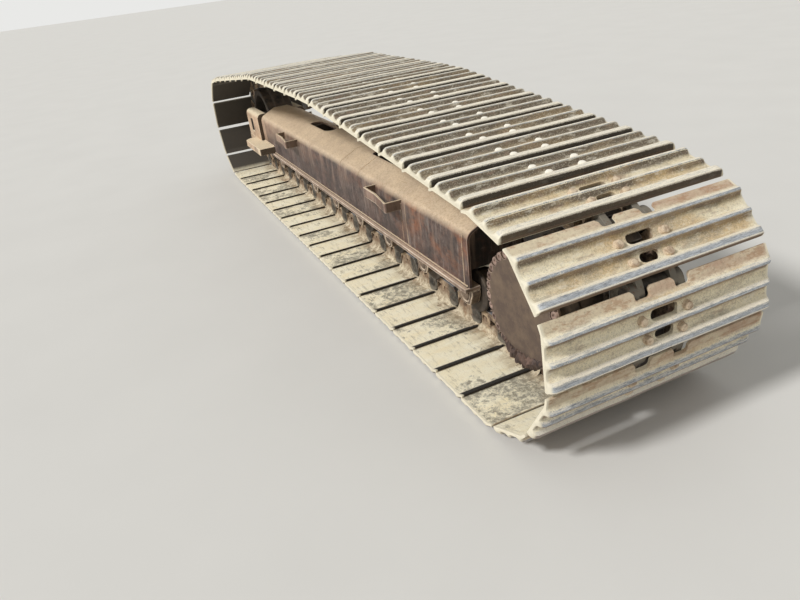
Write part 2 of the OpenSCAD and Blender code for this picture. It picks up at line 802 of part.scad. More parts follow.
track();
track_frame();
flange_outboard();
flange_inboard();
rear_bulkhead();
step_rear();
step_front();
guide_plate_outboard();
guide_plate_inboard();
idler_block_outboard();
idler_block_inboard();
idler_wheel();
idler_shaft();
adjuster_yoke();
recoil_spring();
grease_cylinder();
bottom_roller_1();
bottom_roller_2();
bottom_roller_3();
bottom_roller_4();
bottom_roller_5();
bottom_roller_6();
bottom_roller_7();
bottom_roller_8();
carrier_roller_rear();
carrier_roller_front();
carrier_bracket_rear();
carrier_bracket_front();
drive_mount();
drive_hub();
drive_housing();
drive_cover();
sprocket();
travel_motor();
motor_guard();
mounting_pad_rear();
mounting_pad_front();
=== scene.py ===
import math
from functools import partial

import bmesh
import bpy
import numpy as np
from mathutils import Matrix, Vector, noise


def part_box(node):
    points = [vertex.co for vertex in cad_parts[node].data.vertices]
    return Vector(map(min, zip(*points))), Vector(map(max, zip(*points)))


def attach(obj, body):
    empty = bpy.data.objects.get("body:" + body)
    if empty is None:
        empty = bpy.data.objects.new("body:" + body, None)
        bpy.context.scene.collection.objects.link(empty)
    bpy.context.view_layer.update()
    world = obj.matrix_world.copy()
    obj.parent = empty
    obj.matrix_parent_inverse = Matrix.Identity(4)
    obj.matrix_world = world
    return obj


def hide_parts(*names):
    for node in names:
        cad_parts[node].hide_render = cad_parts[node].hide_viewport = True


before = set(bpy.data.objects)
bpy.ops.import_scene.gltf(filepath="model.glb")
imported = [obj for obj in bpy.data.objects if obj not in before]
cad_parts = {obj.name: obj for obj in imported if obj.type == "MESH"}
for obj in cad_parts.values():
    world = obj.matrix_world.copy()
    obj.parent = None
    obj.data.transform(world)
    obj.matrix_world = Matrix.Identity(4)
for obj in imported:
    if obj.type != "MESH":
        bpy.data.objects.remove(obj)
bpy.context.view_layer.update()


# The view: a person stands behind the track, a little outboard of it, and looks forward and down along
# it. Its place is measured from the drive's axis, because that end of the track is nearest.
def middle_of(node):
    """The middle of a node's box, as x, y and z."""
    return [(low + high) / 2 for low, high in zip(*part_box(node))]


def new_object(name, data):
    """A new object in the scene."""
    made = bpy.data.objects.new(name, data)
    bpy.context.scene.collection.objects.link(made)
    return made


sprocket_x, _, sprocket_z = middle_of("drive_cover")
view_heading = math.radians(-21.83)
view_drop = math.radians(27.17)
view_roll = math.radians(7.47)
view_place = Vector((sprocket_x - 1.52323, 1.24587, 1.39328))

camera = new_object("view", bpy.data.cameras.new("view"))
camera.data.lens = 29.636
camera.data.sensor_width = 36
camera.matrix_world = (
    Matrix.Translation(view_place)
    @ Matrix.Rotation(view_heading - math.pi / 2, 4, "Z")
    @ Matrix.Rotation(math.pi / 2 - view_drop, 4, "X")
    @ Matrix.Rotation(-view_roll, 4, "Z")
)
bpy.context.scene.camera = camera
bpy.context.scene.view_settings.view_transform = "Standard"


# The studio: a plain pale floor under soft light from all round, with one broad lamp from ahead and
# outboard. Together they give an upward face about the light at which a colour shows as it is written.
floor_half = 60.0
floor_colour = "#d9d7d2"
sky_colour = "#e9e9e7"
sky_light = 0.57
lamp_strength = 2.5
lamp_from = Vector((-0.05, 0.76, 0.68))
lamp_spread = math.radians(10)


def linear(colour):
    """An sRGB hex colour as linear light, with full opacity."""
    parts = [int(colour[i:i + 2], 16) / 255 for i in (1, 3, 5)]
    return [c / 12.92 if c <= 0.04045 else ((c + 0.055) / 1.055) ** 2.4 for c in parts] + [1.0]


def add_node(tree, kind, *inputs, **named):
    """One shader node with its links and settings.

    Inputs fill the sockets in the node's own order. A name with a capital is a socket too, and other
    names are settings. An input is a value, a hex colour, a socket, or a node, which stands for its
    first output.
    """
    made = tree.nodes.new("ShaderNode" + kind)
    sockets = list(enumerate(inputs))
    for name, value in named.items():
        if name[0].isupper():
            sockets.append((name, value))
        else:
            setattr(made, name, value)
    for socket, value in sockets:
        if isinstance(value, bpy.types.Node):
            value = value.outputs[0]
        if isinstance(value, bpy.types.NodeSocket):
            tree.links.new(value, made.inputs[socket])
        else:
            made.inputs[socket].default_value = linear(value) if isinstance(value, str) else value
    return made


def new_finish(name, owner=bpy.data.materials):
    """A material, or a world, with an empty node tree, and what adds a node to that tree."""
    made = owner.new(name)
    made.use_nodes = True
    made.node_tree.nodes.clear()
    return made, partial(add_node, made.node_tree)


# Painted screed: matt, with clouds of a slightly greyer tone half a metre across.
floor_finish, add = new_finish("matt_painted_screed")
spot = add("TexCoord")
clouds = add("TexNoise", spot.outputs["Object"], Scale=2.0, Detail=3.0)
tone = add("MixRGB", clouds, floor_colour, "#d2d0cb")
matt = add("BsdfPrincipled", tone, Roughness=0.9)
add("OutputMaterial", matt)

floor_mesh = bpy.data.meshes.new("floor")
floor_corners = [(x * floor_half, y * floor_half, 0) for x, y in ((-1, -1), (1, -1), (1, 1), (-1, 1))]
floor_mesh.from_pydata(floor_corners, [], [(0, 1, 2, 3)])
floor_mesh.materials.append(floor_finish)
floor = new_object("floor", floor_mesh)

sky, add = new_finish("soft_sky", bpy.data.worlds)
rays = add("LightPath")
shiny = add("Math", rays.outputs["Is Camera Ray"], rays.outputs["Is Glossy Ray"], operation="MAXIMUM")
seen = add("Math", shiny, rays.outputs["Is Transmission Ray"], operation="MAXIMUM")
strength = add("MapRange", seen, 0.0, 1.0, sky_light, 1.0)
glow = add("Background", sky_colour, strength)
add("OutputWorld", glow)
bpy.context.scene.world = sky

lamp = new_object("broad_lamp", bpy.data.lights.new("broad_lamp", "SUN"))
lamp.data.energy = lamp_strength
lamp.data.angle = lamp_spread
lamp.rotation_euler = lamp_from.to_track_quat("Z", "Y").to_euler()


# The box beam of the track frame: 12 mm plate pressed to a roof with round shoulders, open below and
# welded up from three lengths. It has two long holes in its ridge, and weld beads that run round it
# where lengths meet.
beam_low, beam_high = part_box("track_frame")
beam_rear, beam_front = beam_low[0], beam_high[0]
beam_half = beam_high[1]
beam_foot, ridge_z = beam_low[2], beam_high[2]
beam_wall = 0.012
shoulder_z = 0.446
shoulder_radius = 0.045
roof_slope = math.radians(25)
station_gap = 0.05
weld_radius = 0.0030
wall_seams = [0.980, 1.027]
roof_seams = [1.530, 1.790]
rear_slot = (1.420, 0.420)
front_slot = (2.487, 0.330)
slot_half = 0.038


def filleted(corners, steps=4):
    """An outline from corners (u, v, radius), each turned into an arc of its radius."""
    points = []
    for i, (u, v, radius) in enumerate(corners):
        here = Vector((u, v))
        back = Vector(corners[i - 1][:2]) - here
        ahead = Vector(corners[(i + 1) % len(corners)][:2]) - here
        if radius == 0 or back.length < 1e-6 or ahead.length < 1e-6:
            points.append((u, v))
            continue
        half = back.angle(ahead) / 2
        run = min(radius / math.tan(half), 0.49 * min(back.length, ahead.length))
        radius = run * math.tan(half)
        centre = here + (back.normalized() + ahead.normalized()).normalized() * radius / math.sin(half)
        start = here + back.normalized() * run - centre
        turn = -start.angle_signed(here + ahead.normalized() * run - centre)
        for k in range(steps + 1):
            angle = math.atan2(start.y, start.x) + turn * k / steps
            points.append((centre.x + radius * math.cos(angle), centre.y + radius * math.sin(angle)))
    return points


def rectangle(u, v, radius=0, steps=4):
    """An outline over the ranges u and v, with round corners."""
    corners = ((u[0], v[0]), (u[1], v[0]), (u[1], v[1]), (u[0], v[1]))
    return filleted([(*corner, radius) for corner in corners], steps)


along_x = lambda u, v, w: (w, u, v)
across_y = lambda u, v, w: (u, w, v)
upward_z = lambda u, v, w: (u, v, w)


def tube(bm, rings):
    """Faces from each ring of points to the next, and over the first and the last ring."""
    count = len(rings[0])
    made = [bm.faces.new((low[i], low[(i + 1) % count], high[(i + 1) % count], high[i]))
            for low, high in zip(rings, rings[1:]) for i in range(count)]
    return made + [bm.faces.new(rings[0][::-1]), bm.faces.new(rings[-1])]


def prism(bm, outline, stations, place):
    """A closed prism: the outline (u, v) repeated at each station w, with flat ends."""
    made = tube(bm, [[bm.verts.new(place(u, v, w)) for u, v in outline] for w in stations])
    bmesh.ops.recalc_face_normals(bm, faces=made)
    return bm


def round_edges(bm, width, sharpest=math.radians(40)):
    """Rounds every sharp edge and marks the round's faces as rubbed, for the finish."""
    rubbed = bm.faces.layers.float.get("rubbed") or bm.faces.layers.float.new("rubbed")
    edges = [e for e in bm.edges if len(e.link_faces) == 2 and e.calc_face_angle(0) > sharpest]
    made = bmesh.ops.bevel(bm, geom=edges, offset=width, segments=2, affect="EDGES", profile=0.6,
                           clamp_overlap=True)
    for face in made["faces"]:
        face[rubbed] = 1.0


def show(name, bm, finish, slot, *nodes):
    """Turns a mesh into a piece that rides on the unit and stands for the given nodes."""
    mesh = bpy.data.meshes.new(name)
    bm.to_mesh(mesh)
    bm.free()
    mesh.shade_smooth()
    mesh.set_sharp_from_angle(angle=math.radians(32))
    mesh.materials.append(finish)
    made = new_object(name, mesh)
    # Big faces stay flat beside their rounded edges
    flat = made.modifiers.new("flat", "WEIGHTED_NORMAL")
    flat.keep_sharp = True
    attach(made, "root")
    if nodes:
        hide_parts(*nodes)
    return made


def carved(bm, cutter, operation="DIFFERENCE"):
    """The first mesh less the second, or joined with it, as a new mesh."""
    pair = []
    for part in (bm, cutter):
        mesh = bpy.data.meshes.new("blank")
        part.to_mesh(mesh)
        part.free()
        pair.append(new_object("blank", mesh))
    change = pair[0].modifiers.new("change", "BOOLEAN")
    change.operation = operation
    change.solver = "EXACT"
    change.object = pair[1]
    result = bmesh.new()
    result.from_object(pair[0], bpy.context.evaluated_depsgraph_get())
    for blank in pair:
        mesh = blank.data
        bpy.data.objects.remove(blank)
        bpy.data.meshes.remove(mesh)
    return result


# Old brown enamel on rolled plate, sprayed on and now chalky: purple-grey on the walls, where rain has
# drawn pale streaks down, and tan with road dust on the slopes. Rust shows in patches, and edges are
# rubbed to bare pink-brown.
def brown_enamel(name, wall_colour, dust_colour, dust_amount, rust_amount=0.9, rub_colour="#a98f80",
                 rear_shade=0.0):
    made, add = new_finish(name)
    spot = add("TexCoord").outputs["Object"]
    face = add("NewGeometry").outputs["Normal"]
    rubbed = add("Attribute", attribute_name="rubbed").outputs["Fac"]
    upward = add("SeparateXYZ", face).outputs["Z"]
    # Clouds of thinner and thicker paint, 120 mm across
    clouds = add("TexNoise", spot, Scale=8.0, Detail=6.0, Roughness=0.6)
    cloud = add("MapRange", clouds, 0.35, 0.65)
    paint = add("MixRGB", cloud, wall_colour[0], wall_colour[1])
    # Mottling of 30 mm where the paint is thin or chalky, with specks of 5 mm in it
    mottles = add("TexNoise", spot, Scale=34.0, Detail=9.0, Roughness=0.78)
    thin = add("MapRange", mottles, 0.48, 0.60, 0.0, 0.75)
    paint = add("MixRGB", thin, paint, "#b3a8a4", blend_type="MULTIPLY")
    chalky = add("MapRange", mottles, 0.44, 0.34, 0.0, 0.35)
    paint = add("MixRGB", chalky, paint, "#94877d")
    # Streaks that run down the walls, 8 mm wide and 200 mm long
    stretched = add("Mapping", spot, Scale=(1.0, 1.0, 0.05))
    streaks = add("TexNoise", stretched, Scale=70.0, Detail=4.0, Roughness=0.7)
    streak = add("MapRange", streaks, 0.52, 0.74, 0.0, 0.7)
    steep = add("MapRange", upward, 0.5, 0.1)
    here = add("MapRange", clouds, 0.46, 0.58, 0.1)
    run_down = add("Math", streak, steep, operation="MULTIPLY")
    run_down = add("Math", run_down, here, operation="MULTIPLY")
    streaked = add("MixRGB", run_down, paint, "#a59a90")
    # Rust in patches of 150 mm with ragged edges, most of it at the rear under the shoulder
    along = add("SeparateXYZ", spot)
    drawn_out = add("Mapping", spot, Scale=(0.45, 1.0, 0.8))
    rusts = add("TexNoise", drawn_out, Scale=13.0, Detail=9.0, Roughness=0.72)
    rust = add("MapRange", rusts, 0.46, 0.64)
    rearward = add("MapRange", along.outputs["X"], beam_rear + 1.1, beam_rear + 0.35, 0.25 * rust_amount,
                   rust_amount)
    below = add("MapRange", along.outputs["Z"], shoulder_z - 0.15, shoulder_z - 0.04, 0.35)
    rusted = add("Math", rust, rearward, operation="MULTIPLY")
    rusted = add("Math", rusted, below, operation="MULTIPLY")
    bright_rust = add("MixRGB", thin, "#945c3c", "#603b28")
    rusty = add("MixRGB", rusted, streaked, bright_rust)
    # Dust that rain has washed over the shoulder and down the wall, in runs 60 mm wide
    washed = add("Mapping", spot, Scale=(1.0, 1.0, 0.12))
    runs = add("TexNoise", washed, Scale=15.0, Detail=8.0, Roughness=0.68)
    run = add("MapRange", runs, 0.50, 0.62, 0.0, 0.5)
    reach = add("MapRange", along.outputs["Z"], shoulder_z - 0.17, shoulder_z + 0.01)
    washed = add("Math", run, reach, operation="MULTIPLY")
    rusty = add("MixRGB", washed, rusty, "#a58b78")
    # Road dust has stuck to the front of the walls, above all at their very end and under the shoulder
    forward = add("MapRange", along.outputs["X"], beam_front - 1.3, beam_front - 0.1, 0.0, 0.75)
    shoulder = add("MapRange", along.outputs["Z"], shoulder_z - 0.11, shoulder_z + 0.01)
    stuck = add("Math", forward, shoulder, operation="MULTIPLY")
    end = add("MapRange", along.outputs["X"], beam_front - 0.105, beam_front - 0.07, 0.0, 0.75)
    stuck = add("Math", stuck, end, operation="MAXIMUM")
    uneven = add("MapRange", rusts, 0.66, 0.40, 0.25)
    stuck = add("Math", stuck, uneven, operation="MULTIPLY")
    rusty = add("MixRGB", stuck, rusty, "#d2b193")
    # Dust lies on what faces up
    lying = add("MapRange", upward, 0.15, 0.75, 0.0, dust_amount)
    drifts = add("MapRange", clouds, 0.70, 0.40, 0.72)
    dust = add("Math", lying, drifts, operation="MULTIPLY")
    sand = add("TexNoise", spot, Scale=110.0, Detail=4.0, Roughness=0.75)
    grits = add("MapRange", sand, 0.46, 0.62, 0.0, 0.55)
    gritty = add("MixRGB", grits, dust_colour, "#cdbfb0", blend_type="MULTIPLY")
    dusty = add("MixRGB", dust, rusty, gritty)
    # Rubbed edges, broken by the clouds in the paint
    rub = add("MapRange", clouds, 0.40, 0.60, 0.25, 0.9)
    bare = add("Math", rubbed, rub, operation="MULTIPLY")
    colour = add("MixRGB", bare, dusty, rub_colour)
    # Faces that look to the rear are painted darker, as painted shade
    rear_face = add("SeparateXYZ", face).outputs["X"]
    shade = add("MapRange", rear_face, -0.5, -0.8, 0.0, rear_shade)
    colour = add("MixRGB", shade, colour, "#43372b")
    rough = add("MapRange", cloud, 0.0, 1.0, 0.5, 0.75)
    # Pits and runs in the paint, 3 mm across, are drawn a little coarser than they are
    pits = add("TexNoise", spot, Scale=220.0, Detail=3.0)
    relief = add("Bump", Strength=0.25, Distance=0.002, Height=pits)
    shader = add("BsdfPrincipled", colour, Roughness=rough, Normal=relief)
    add("OutputMaterial", shader)
    return made


beam_enamel = brown_enamel("old_brown_enamel", ("#3b302d", "#60504a"), "#dcc6a9", 0.95)


def roof_section(inset):
    """Half the beam's outline in (y, z), from its foot over the shoulder to the ridge."""
    centre_y = beam_half - shoulder_radius
    radius = shoulder_radius - inset
    turn = math.pi / 2 - roof_slope
    arc = [(centre_y + radius * math.cos(a), shoulder_z + radius * math.sin(a))
           for a in (turn * k / 8 for k in range(9))]
    top = ridge_z - inset
    end_y, end_z = arc[-1]
    ridge_y = end_y - (top - end_z) / math.tan(roof_slope)
    return [(beam_half - inset, beam_foot)] + arc + [(ridge_y, top)]


outer_half = roof_section(0)
inner_half = roof_section(beam_wall)
section = (outer_half + [(-y, z) for y, z in reversed(outer_half)]
           + [(-y, z) for y, z in inner_half] + list(reversed(inner_half)))
stations = np.linspace(beam_rear, beam_front, round((beam_front - beam_rear) / station_gap) + 1)
beam = prism(bmesh.new(), section, stations, along_x)
slots = bmesh.new()
for middle, length in (rear_slot, front_slot):
    x = sprocket_x + middle
    outline = rectangle((x - length / 2, x + length / 2), (-slot_half, slot_half), slot_half, 8)
    prism(slots, outline, (ridge_z - 0.03, ridge_z + 0.03), upward_z)
beam = carved(beam, slots)
round_edges(beam, 0.0025)
for vert in beam.verts:
    # The plates have drawn a millimetre or so out of true between their welds
    wave = noise.noise(Vector((vert.co.x * 2.2, vert.co.y * 4, vert.co.z * 4)))
    vert.co.y += 0.0012 * wave
show("beam_plates", beam, beam_enamel, "frame_paint", "track_frame")


def weld(bm, path, radius, ripple=0.007):
    """A weld bead along a path of points: a tube whose rings swell and shrink as the weld pool froze."""
    places = [Vector(path[0])]
    for low, high in zip(path, path[1:]):
        low, high = Vector(low), Vector(high)
        count = max(1, round((high - low).length / ripple * 2))
        places += [low.lerp(high, k / count) for k in range(1, count + 1)]
    rings = []
    for i, place in enumerate(places):
        ahead = (places[min(i + 1, len(places) - 1)] - places[max(i - 1, 0)]).normalized()
        side = ahead.orthogonal().normalized() if not rings else side - ahead * side.dot(ahead)
        side.normalize()
        other = ahead.cross(side)
        size = radius * (1.0 if i % 2 else 0.82) * (1 + 0.15 * noise.noise(place * 60))
        rings.append([bm.verts.new(place + size * (math.cos(a) * side + math.sin(a) * other))
                      for a in (math.tau * k / 6 for k in range(6))])
    tube(bm, rings)


seams = bmesh.new()
for place in wall_seams:
    x = sprocket_x + place
    weld(seams, [(x, y, z) for y, z in outer_half[:5]], weld_radius)
weld(seams, [(beam_rear + 0.036, y, z) for y, z in outer_half[:5]], weld_radius * 1.3)
for place in roof_seams:
    x = sprocket_x + place
    near_side = [(x, y, z) for y, z in outer_half[3:]]
    weld(seams, near_side + [(x, -y, z) for x, y, z in reversed(near_side)], weld_radius)
seam_enamel = brown_enamel("chalky_enamel_on_welds", ("#94816f", "#b8a38c"), "#d8c1a0", 0.95)
show("beam_seams", seams, seam_enamel, "frame_paint")

# Near-black enamel for the rear bulkhead: dark paint, made darker still as painted shade on a face that
# looks to the rear
shaded_enamel = brown_enamel("dark_enamel_with_painted_shade", ("#1d1917", "#322a26"), "#5b4d40", 0.5, 0.15)


def repainted(finish, *nodes):
    """Gives a finish to nodes that keep the frame's own mesh."""
    for node in nodes:
        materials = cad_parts[node].data.materials
        materials.clear()
        materials.append(finish)


repainted(shaded_enamel, "rear_bulkhead")


# The two lower flanges: flat bars welded along the foot of each wall. They carry the rollers' collars
# and run on under the idler's blocks. A long fillet weld fills the corner between flange and wall.
def both_sides(bm):
    """Adds the mirror image of a mesh across the middle of the track."""
    made = bmesh.ops.duplicate(bm, geom=bm.verts[:] + bm.edges[:] + bm.faces[:])["geom"]
    bmesh.ops.scale(bm, vec=(1, -1, 1), verts=[e for e in made if isinstance(e, bmesh.types.BMVert)])
    bmesh.ops.reverse_faces(bm, faces=[e for e in made if isinstance(e, bmesh.types.BMFace)])


flange_low, flange_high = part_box("flange_outboard")
flange_stations = 60
stations = np.linspace(flange_low[0], flange_high[0], flange_stations)
outline = rectangle((flange_low[1], flange_high[1]), (flange_low[2], flange_high[2]))
flanges = prism(bmesh.new(), outline, stations, along_x)
round_edges(flanges, 0.003)
for vert in flanges.verts:
    # Stones have knocked the free edge a little out of line
    free = (vert.co.y - flange_low[1]) / (flange_high[1] - flange_low[1])
    vert.co.z += 0.003 * free * noise.noise(Vector((vert.co.x * 3, 0, 7)))
both_sides(flanges)
flange_enamel = brown_enamel("rubbed_brown_enamel", ("#7d6a5c", "#a78f7d"), "#cdb6a0", 0.8, 0.5, "#f0dfcc")
show("roller_flanges", flanges, flange_enamel, "frame_paint", "flange_outboard", "flange_inboard")

foot_welds = bmesh.new()
foot_corner = (beam_half + 0.002, beam_foot + 0.002)
weld(foot_welds, [(beam_rear + 0.01, *foot_corner), (beam_front - 0.01, *foot_corner)], 0.006, 0.016)
both_sides(foot_welds)
show("flange_welds", foot_welds, beam_enamel, "frame_paint")


# Two climbing steps: a strap bent from 10 mm flat bar, with its two ends turned in and welded to the
# wall, open above and below. The front end stands out less than the rear one, so the strap leans along
# the wall.
step_plate = 0.010
step_front_reach = 0.058
step_bend = 0.55
# Its rubbed edges are painted cream, partly as a painted highlight, and its faces that look to the rear get
# painted shade
step_enamel = brown_enamel("trodden_brown_enamel", ("#5a473c", "#93796a"), "#dcc8aa", 0.95, 0.6, "#e6d5bb",
                           0.55)
for node in ("step_rear", "step_front"):
    low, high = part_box(node)
    rear_y = high[1]
    front_y = beam_half + step_front_reach
    inner_y = beam_half - 0.006
    bend_x = low[0] + step_bend * (high[0] - low[0])
    corners = [(low[0], inner_y, 0), (low[0], rear_y, 0.010), (bend_x, front_y, 0.06),
               (high[0], front_y, 0.012), (high[0], inner_y, 0), (high[0] - step_plate, inner_y, 0),
               (high[0] - step_plate, front_y - step_plate, 0.004), (bend_x, front_y - step_plate, 0.06),
               (low[0] + step_plate, rear_y - step_plate, 0.004), (low[0] + step_plate, inner_y, 0)]
    strap = prism(bmesh.new(), filleted(corners), (low[2], high[2]), upward_z)
    round_edges(strap, 0.003)
    for x in (low[0] - 0.001, high[0] + 0.001):
        weld(strap, [(x, beam_half, low[2]), (x, beam_half, high[2] - 0.016)], 0.005)
    show(node + "_strap", strap, step_enamel, "frame_paint", node)


# The guide plates under the idler's blocks: thick flame-cut ledges that stand out past the beam, each
# with the slide bar on its inner edge that the block's foot runs on. Flame cutting leaves their edges
# soft.
plate_low, plate_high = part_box("guide_plate_outboard")
plate_rear = beam_front - 0.264
plate_front = beam_front + 0.186
plate_corner = 0.036
plate_foot = plate_high[2] - 0.046
corners = [(plate_rear, beam_half - 0.004, 0), (plate_rear, plate_high[1], 0.012),
           (plate_front - plate_corner, plate_high[1], 0.02),
           (plate_front, plate_high[1] - plate_corner, 0.02), (plate_front, beam_half - 0.004, 0)]
guides = prism(bmesh.new(), filleted(corners), (plate_foot, plate_high[2]), upward_z)
slide_bar = rectangle((plate_low[1], flange_high[1]), (flange_high[2], plate_high[2]))
prism(guides, slide_bar, (beam_front + 0.001, plate_high[0]), along_x)
round_edges(guides, 0.004)
weld(guides, [(plate_rear + 0.01, beam_half, plate_high[2]), (beam_front, beam_half, plate_high[2])], 0.006)
both_sides(guides)
front_enamel = brown_enamel("dusty_brown_enamel", ("#8e7a67", "#ead3b2"), "#f3e4c6", 0.97, 0.3, "#efdec2",
                            0.92)
show("idler_guides", guides, front_enamel, "frame_paint", "guide_plate_outboard", "guide_plate_inboard")


# The idler's bearing blocks: cast steel, painted with the frame. Their tops follow the beam's shoulder,
# and a keeper plate sits in the long recess beside the shaft's end.
block_low, block_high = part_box("idler_block_outboard")
shaft_low, shaft_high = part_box("idler_shaft")
idler_x, _, idler_z = middle_of("idler_shaft")
keyway_x = idler_x + 0.003
keyway_length, keyway_depth, keyway_height = 0.070, 0.014, 0.098
keyway_floor = block_high[1] - keyway_depth


def keyway_outline(inset, radius):
    """The recess's outline in (x, z), or one inside it."""
    half_x, half_z = keyway_length / 2, keyway_height / 2
    return rectangle((keyway_x - half_x + inset, keyway_x + half_x - inset),
                     (idler_z - half_z + inset, idler_z + half_z - inset), radius)


corners = [(block_low[1], block_low[2], 0), (block_high[1], block_low[2], 0.006),
           (block_high[1], block_high[2], 0.038), (block_low[1], block_high[2], 0.006)]
blocks = prism(bmesh.new(), filleted(corners, 6), (block_low[0], block_high[0]), along_x)
recess = prism(bmesh.new(), keyway_outline(0, 0.012), (keyway_floor, block_high[1] + 0.02), across_y)
blocks = carved(blocks, recess)
round_edges(blocks, 0.004)
both_sides(blocks)
show("idler_blocks", blocks, front_enamel, "frame_paint", "idler_block_outboard", "idler_block_inboard")


# The idler: a cast wheel with two treads for the chain's rails, a wide flange between them that keeps
# the chain in line, a dished web and a hub, all of it dark with grease and dust.
def turned(bm, x, z, outline, segments=64):
    """A body turned about an axis across the track at (x, z), from an outline (y, radius)."""
    rings = [[bm.verts.new((x + r * math.cos(a), y, z + r * math.sin(a)))
              for a in (math.tau * k / segments for k in range(segments))] for y, r in outline]
    bmesh.ops.recalc_face_normals(bm, faces=tube(bm, rings))
    return bm


def both_ends(half):
    """A turned outline from its half on the outboard side."""
    return [(-y, r) for y, r in reversed(half) if y > 0] + [(y, r) for y, r in half]


# Cast and forged steel in old grease: near black where it holds oil, brown-grey where dust has stuck to
# it, with the fine pebbled skin of a sand casting, drawn as 4 mm pebbles so that it shows. Rubbed edges
# shine through.
def greasy_steel(name, oil_colour, dust_colour, dust_amount, metal_colour="#8b8580"):
    made, add = new_finish(name)
    spot = add("TexCoord").outputs["Object"]
    face = add("NewGeometry").outputs["Normal"]
    rubbed = add("Attribute", attribute_name="rubbed").outputs["Fac"]
    upward = add("SeparateXYZ", face).outputs["Z"]
    blotches = add("TexNoise", spot, Scale=18.0, Detail=8.0, Roughness=0.7)
    stuck = add("MapRange", blotches, 0.62, 0.42, 0.0, dust_amount)
    lying = add("MapRange", upward, -0.4, 0.8, 0.35)
    dust = add("Math", stuck, lying, operation="MULTIPLY")
    dusty = add("MixRGB", dust, oil_colour, dust_colour)
    worn = add("MapRange", blotches, 0.42, 0.55, 0.0, 0.8)
    bare = add("Math", rubbed, worn, operation="MULTIPLY")
    colour = add("MixRGB", bare, dusty, metal_colour)
    rough = add("MapRange", dust, 0.0, 1.0, 0.55, 0.88)
    skin = add("TexNoise", spot, Scale=240.0, Detail=2.0)
    relief = add("Bump", Strength=0.35, Distance=0.002, Height=skin)
    shader = add("BsdfPrincipled", colour, Roughness=rough, Metallic=0.15, Normal=relief)
    add("OutputMaterial", shader)
    return made


cast_steel = greasy_steel("greasy_cast_steel", "#2a2523", "#6b5d4e", 0.8)


idler_low, idler_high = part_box("idler_wheel")
flange_radius = (idler_high[0] - idler_low[0]) / 2
tread_radius = flange_radius - 0.022
tread_end = 0.097
flange_half = 0.042
shaft_radius = (shaft_high[0] - shaft_low[0]) / 2
hub_half = 0.104
half = filleted([(0, flange_radius, 0), (flange_half - 0.006, flange_radius, 0.006),
                 (flange_half, tread_radius, 0.008), (tread_end, tread_radius, 0.010),
                 (tread_end, tread_radius - 0.042, 0.008), (0.014, tread_radius - 0.062, 0.03),
                 (0.014, shaft_radius + 0.050, 0.03), (hub_half, shaft_radius + 0.028, 0.006),
                 (hub_half, shaft_radius, 0)])
idler = turned(bmesh.new(), idler_x, idler_z, both_ends(half), 96)
show("idler", idler, cast_steel, "cast_steel", "idler_wheel")

shaft_end = shaft_high[1]
half = filleted([(0, shaft_radius, 0), (shaft_end, shaft_radius, 0.004), (shaft_end, 0.016, 0.003),
                 (shaft_end - 0.006, 0.012, 0.002), (shaft_end - 0.006, 0.004, 0)])
shaft = turned(bmesh.new(), idler_x, idler_z, both_ends(half), 48)
show("idler_pin", shaft, cast_steel, "cast_steel", "idler_shaft")

# A keeper plate in each block's recess, held by two cap screws and black with grease
grease = greasy_steel("black_grease_on_steel", "#171412", "#4a3b2f", 0.5)
outline = keyway_outline(0.004, 0.009)
keeper = prism(bmesh.new(), outline, (keyway_floor - 0.004, keyway_floor + 0.007), across_y)
round_edges(keeper, 0.001)
for z in (idler_z - 0.026, idler_z + 0.026):
    cap_screw = [(keyway_floor, 0.010), (block_high[1] - 0.003, 0.010), (block_high[1] - 0.001, 0.008)]
    turned(keeper, keyway_x, z, cap_screw, 16)
both_sides(keeper)
show("keeper_plates", keeper, grease, "cast_steel")


# The tensioner inside the beam: a forged yoke on the idler's shaft, a coil spring wound from 30 mm bar,
# and the grease cylinder behind it. Only the holes in the ridge and the gap at the front show them.
repainted(cast_steel, "adjuster_yoke", "grease_cylinder")

spring_low, spring_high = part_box("recoil_spring")
spring_bar = 0.015
spring_coils = 9
spring_radius = (spring_high[1] - spring_low[1]) / 2 - spring_bar
spring = bmesh.new()
rings = []
turn_steps, bar_sides = 36, 10
steps = turn_steps * spring_coils
run = spring_high[0] - spring_low[0] - 2 * spring_bar
for k in range(steps + 1):
    angle = math.tau * k / turn_steps
    spoke = Vector((0, math.cos(angle), math.sin(angle)))
    centre = Vector((spring_low[0] + spring_bar + run * k / steps, 0, idler_z)) + spring_radius * spoke
    ring = [centre + spring_bar * (math.cos(a) * spoke + math.sin(a) * Vector((1, 0, 0)))
            for a in (math.tau * i / bar_sides for i in range(bar_sides))]
    rings.append([spring.verts.new(place) for place in ring])
bmesh.ops.recalc_face_normals(spring, faces=tube(spring, rings))
spring_enamel = greasy_steel("oily_red_primer", "#4a221a", "#6b5546", 0.7)
show("tension_spring", spring, spring_enamel, "spring_paint", "recoil_spring")


# Eight bottom rollers: turned forgings with two treads and outer flanges, each on a shaft that two cast
# collars hold under the frame's flanges. A collar is a U of steel with the shaft's end and a cross pin
# showing in it.
roller_radius = 0.078
roller_rim = 0.092
collar_half = 0.058
collar_inner = flange_low[1]
collar_face = collar_inner + 0.040
flange_foot = flange_low[2]


def mirrored(x, half, steps):
    """An outline from half of its corners, given as (distance from x, v, radius)."""
    near = [(x - u, v, r) for u, v, r in half]
    return filleted(near + [(x + u, v, r) for u, v, r in reversed(half)], steps)


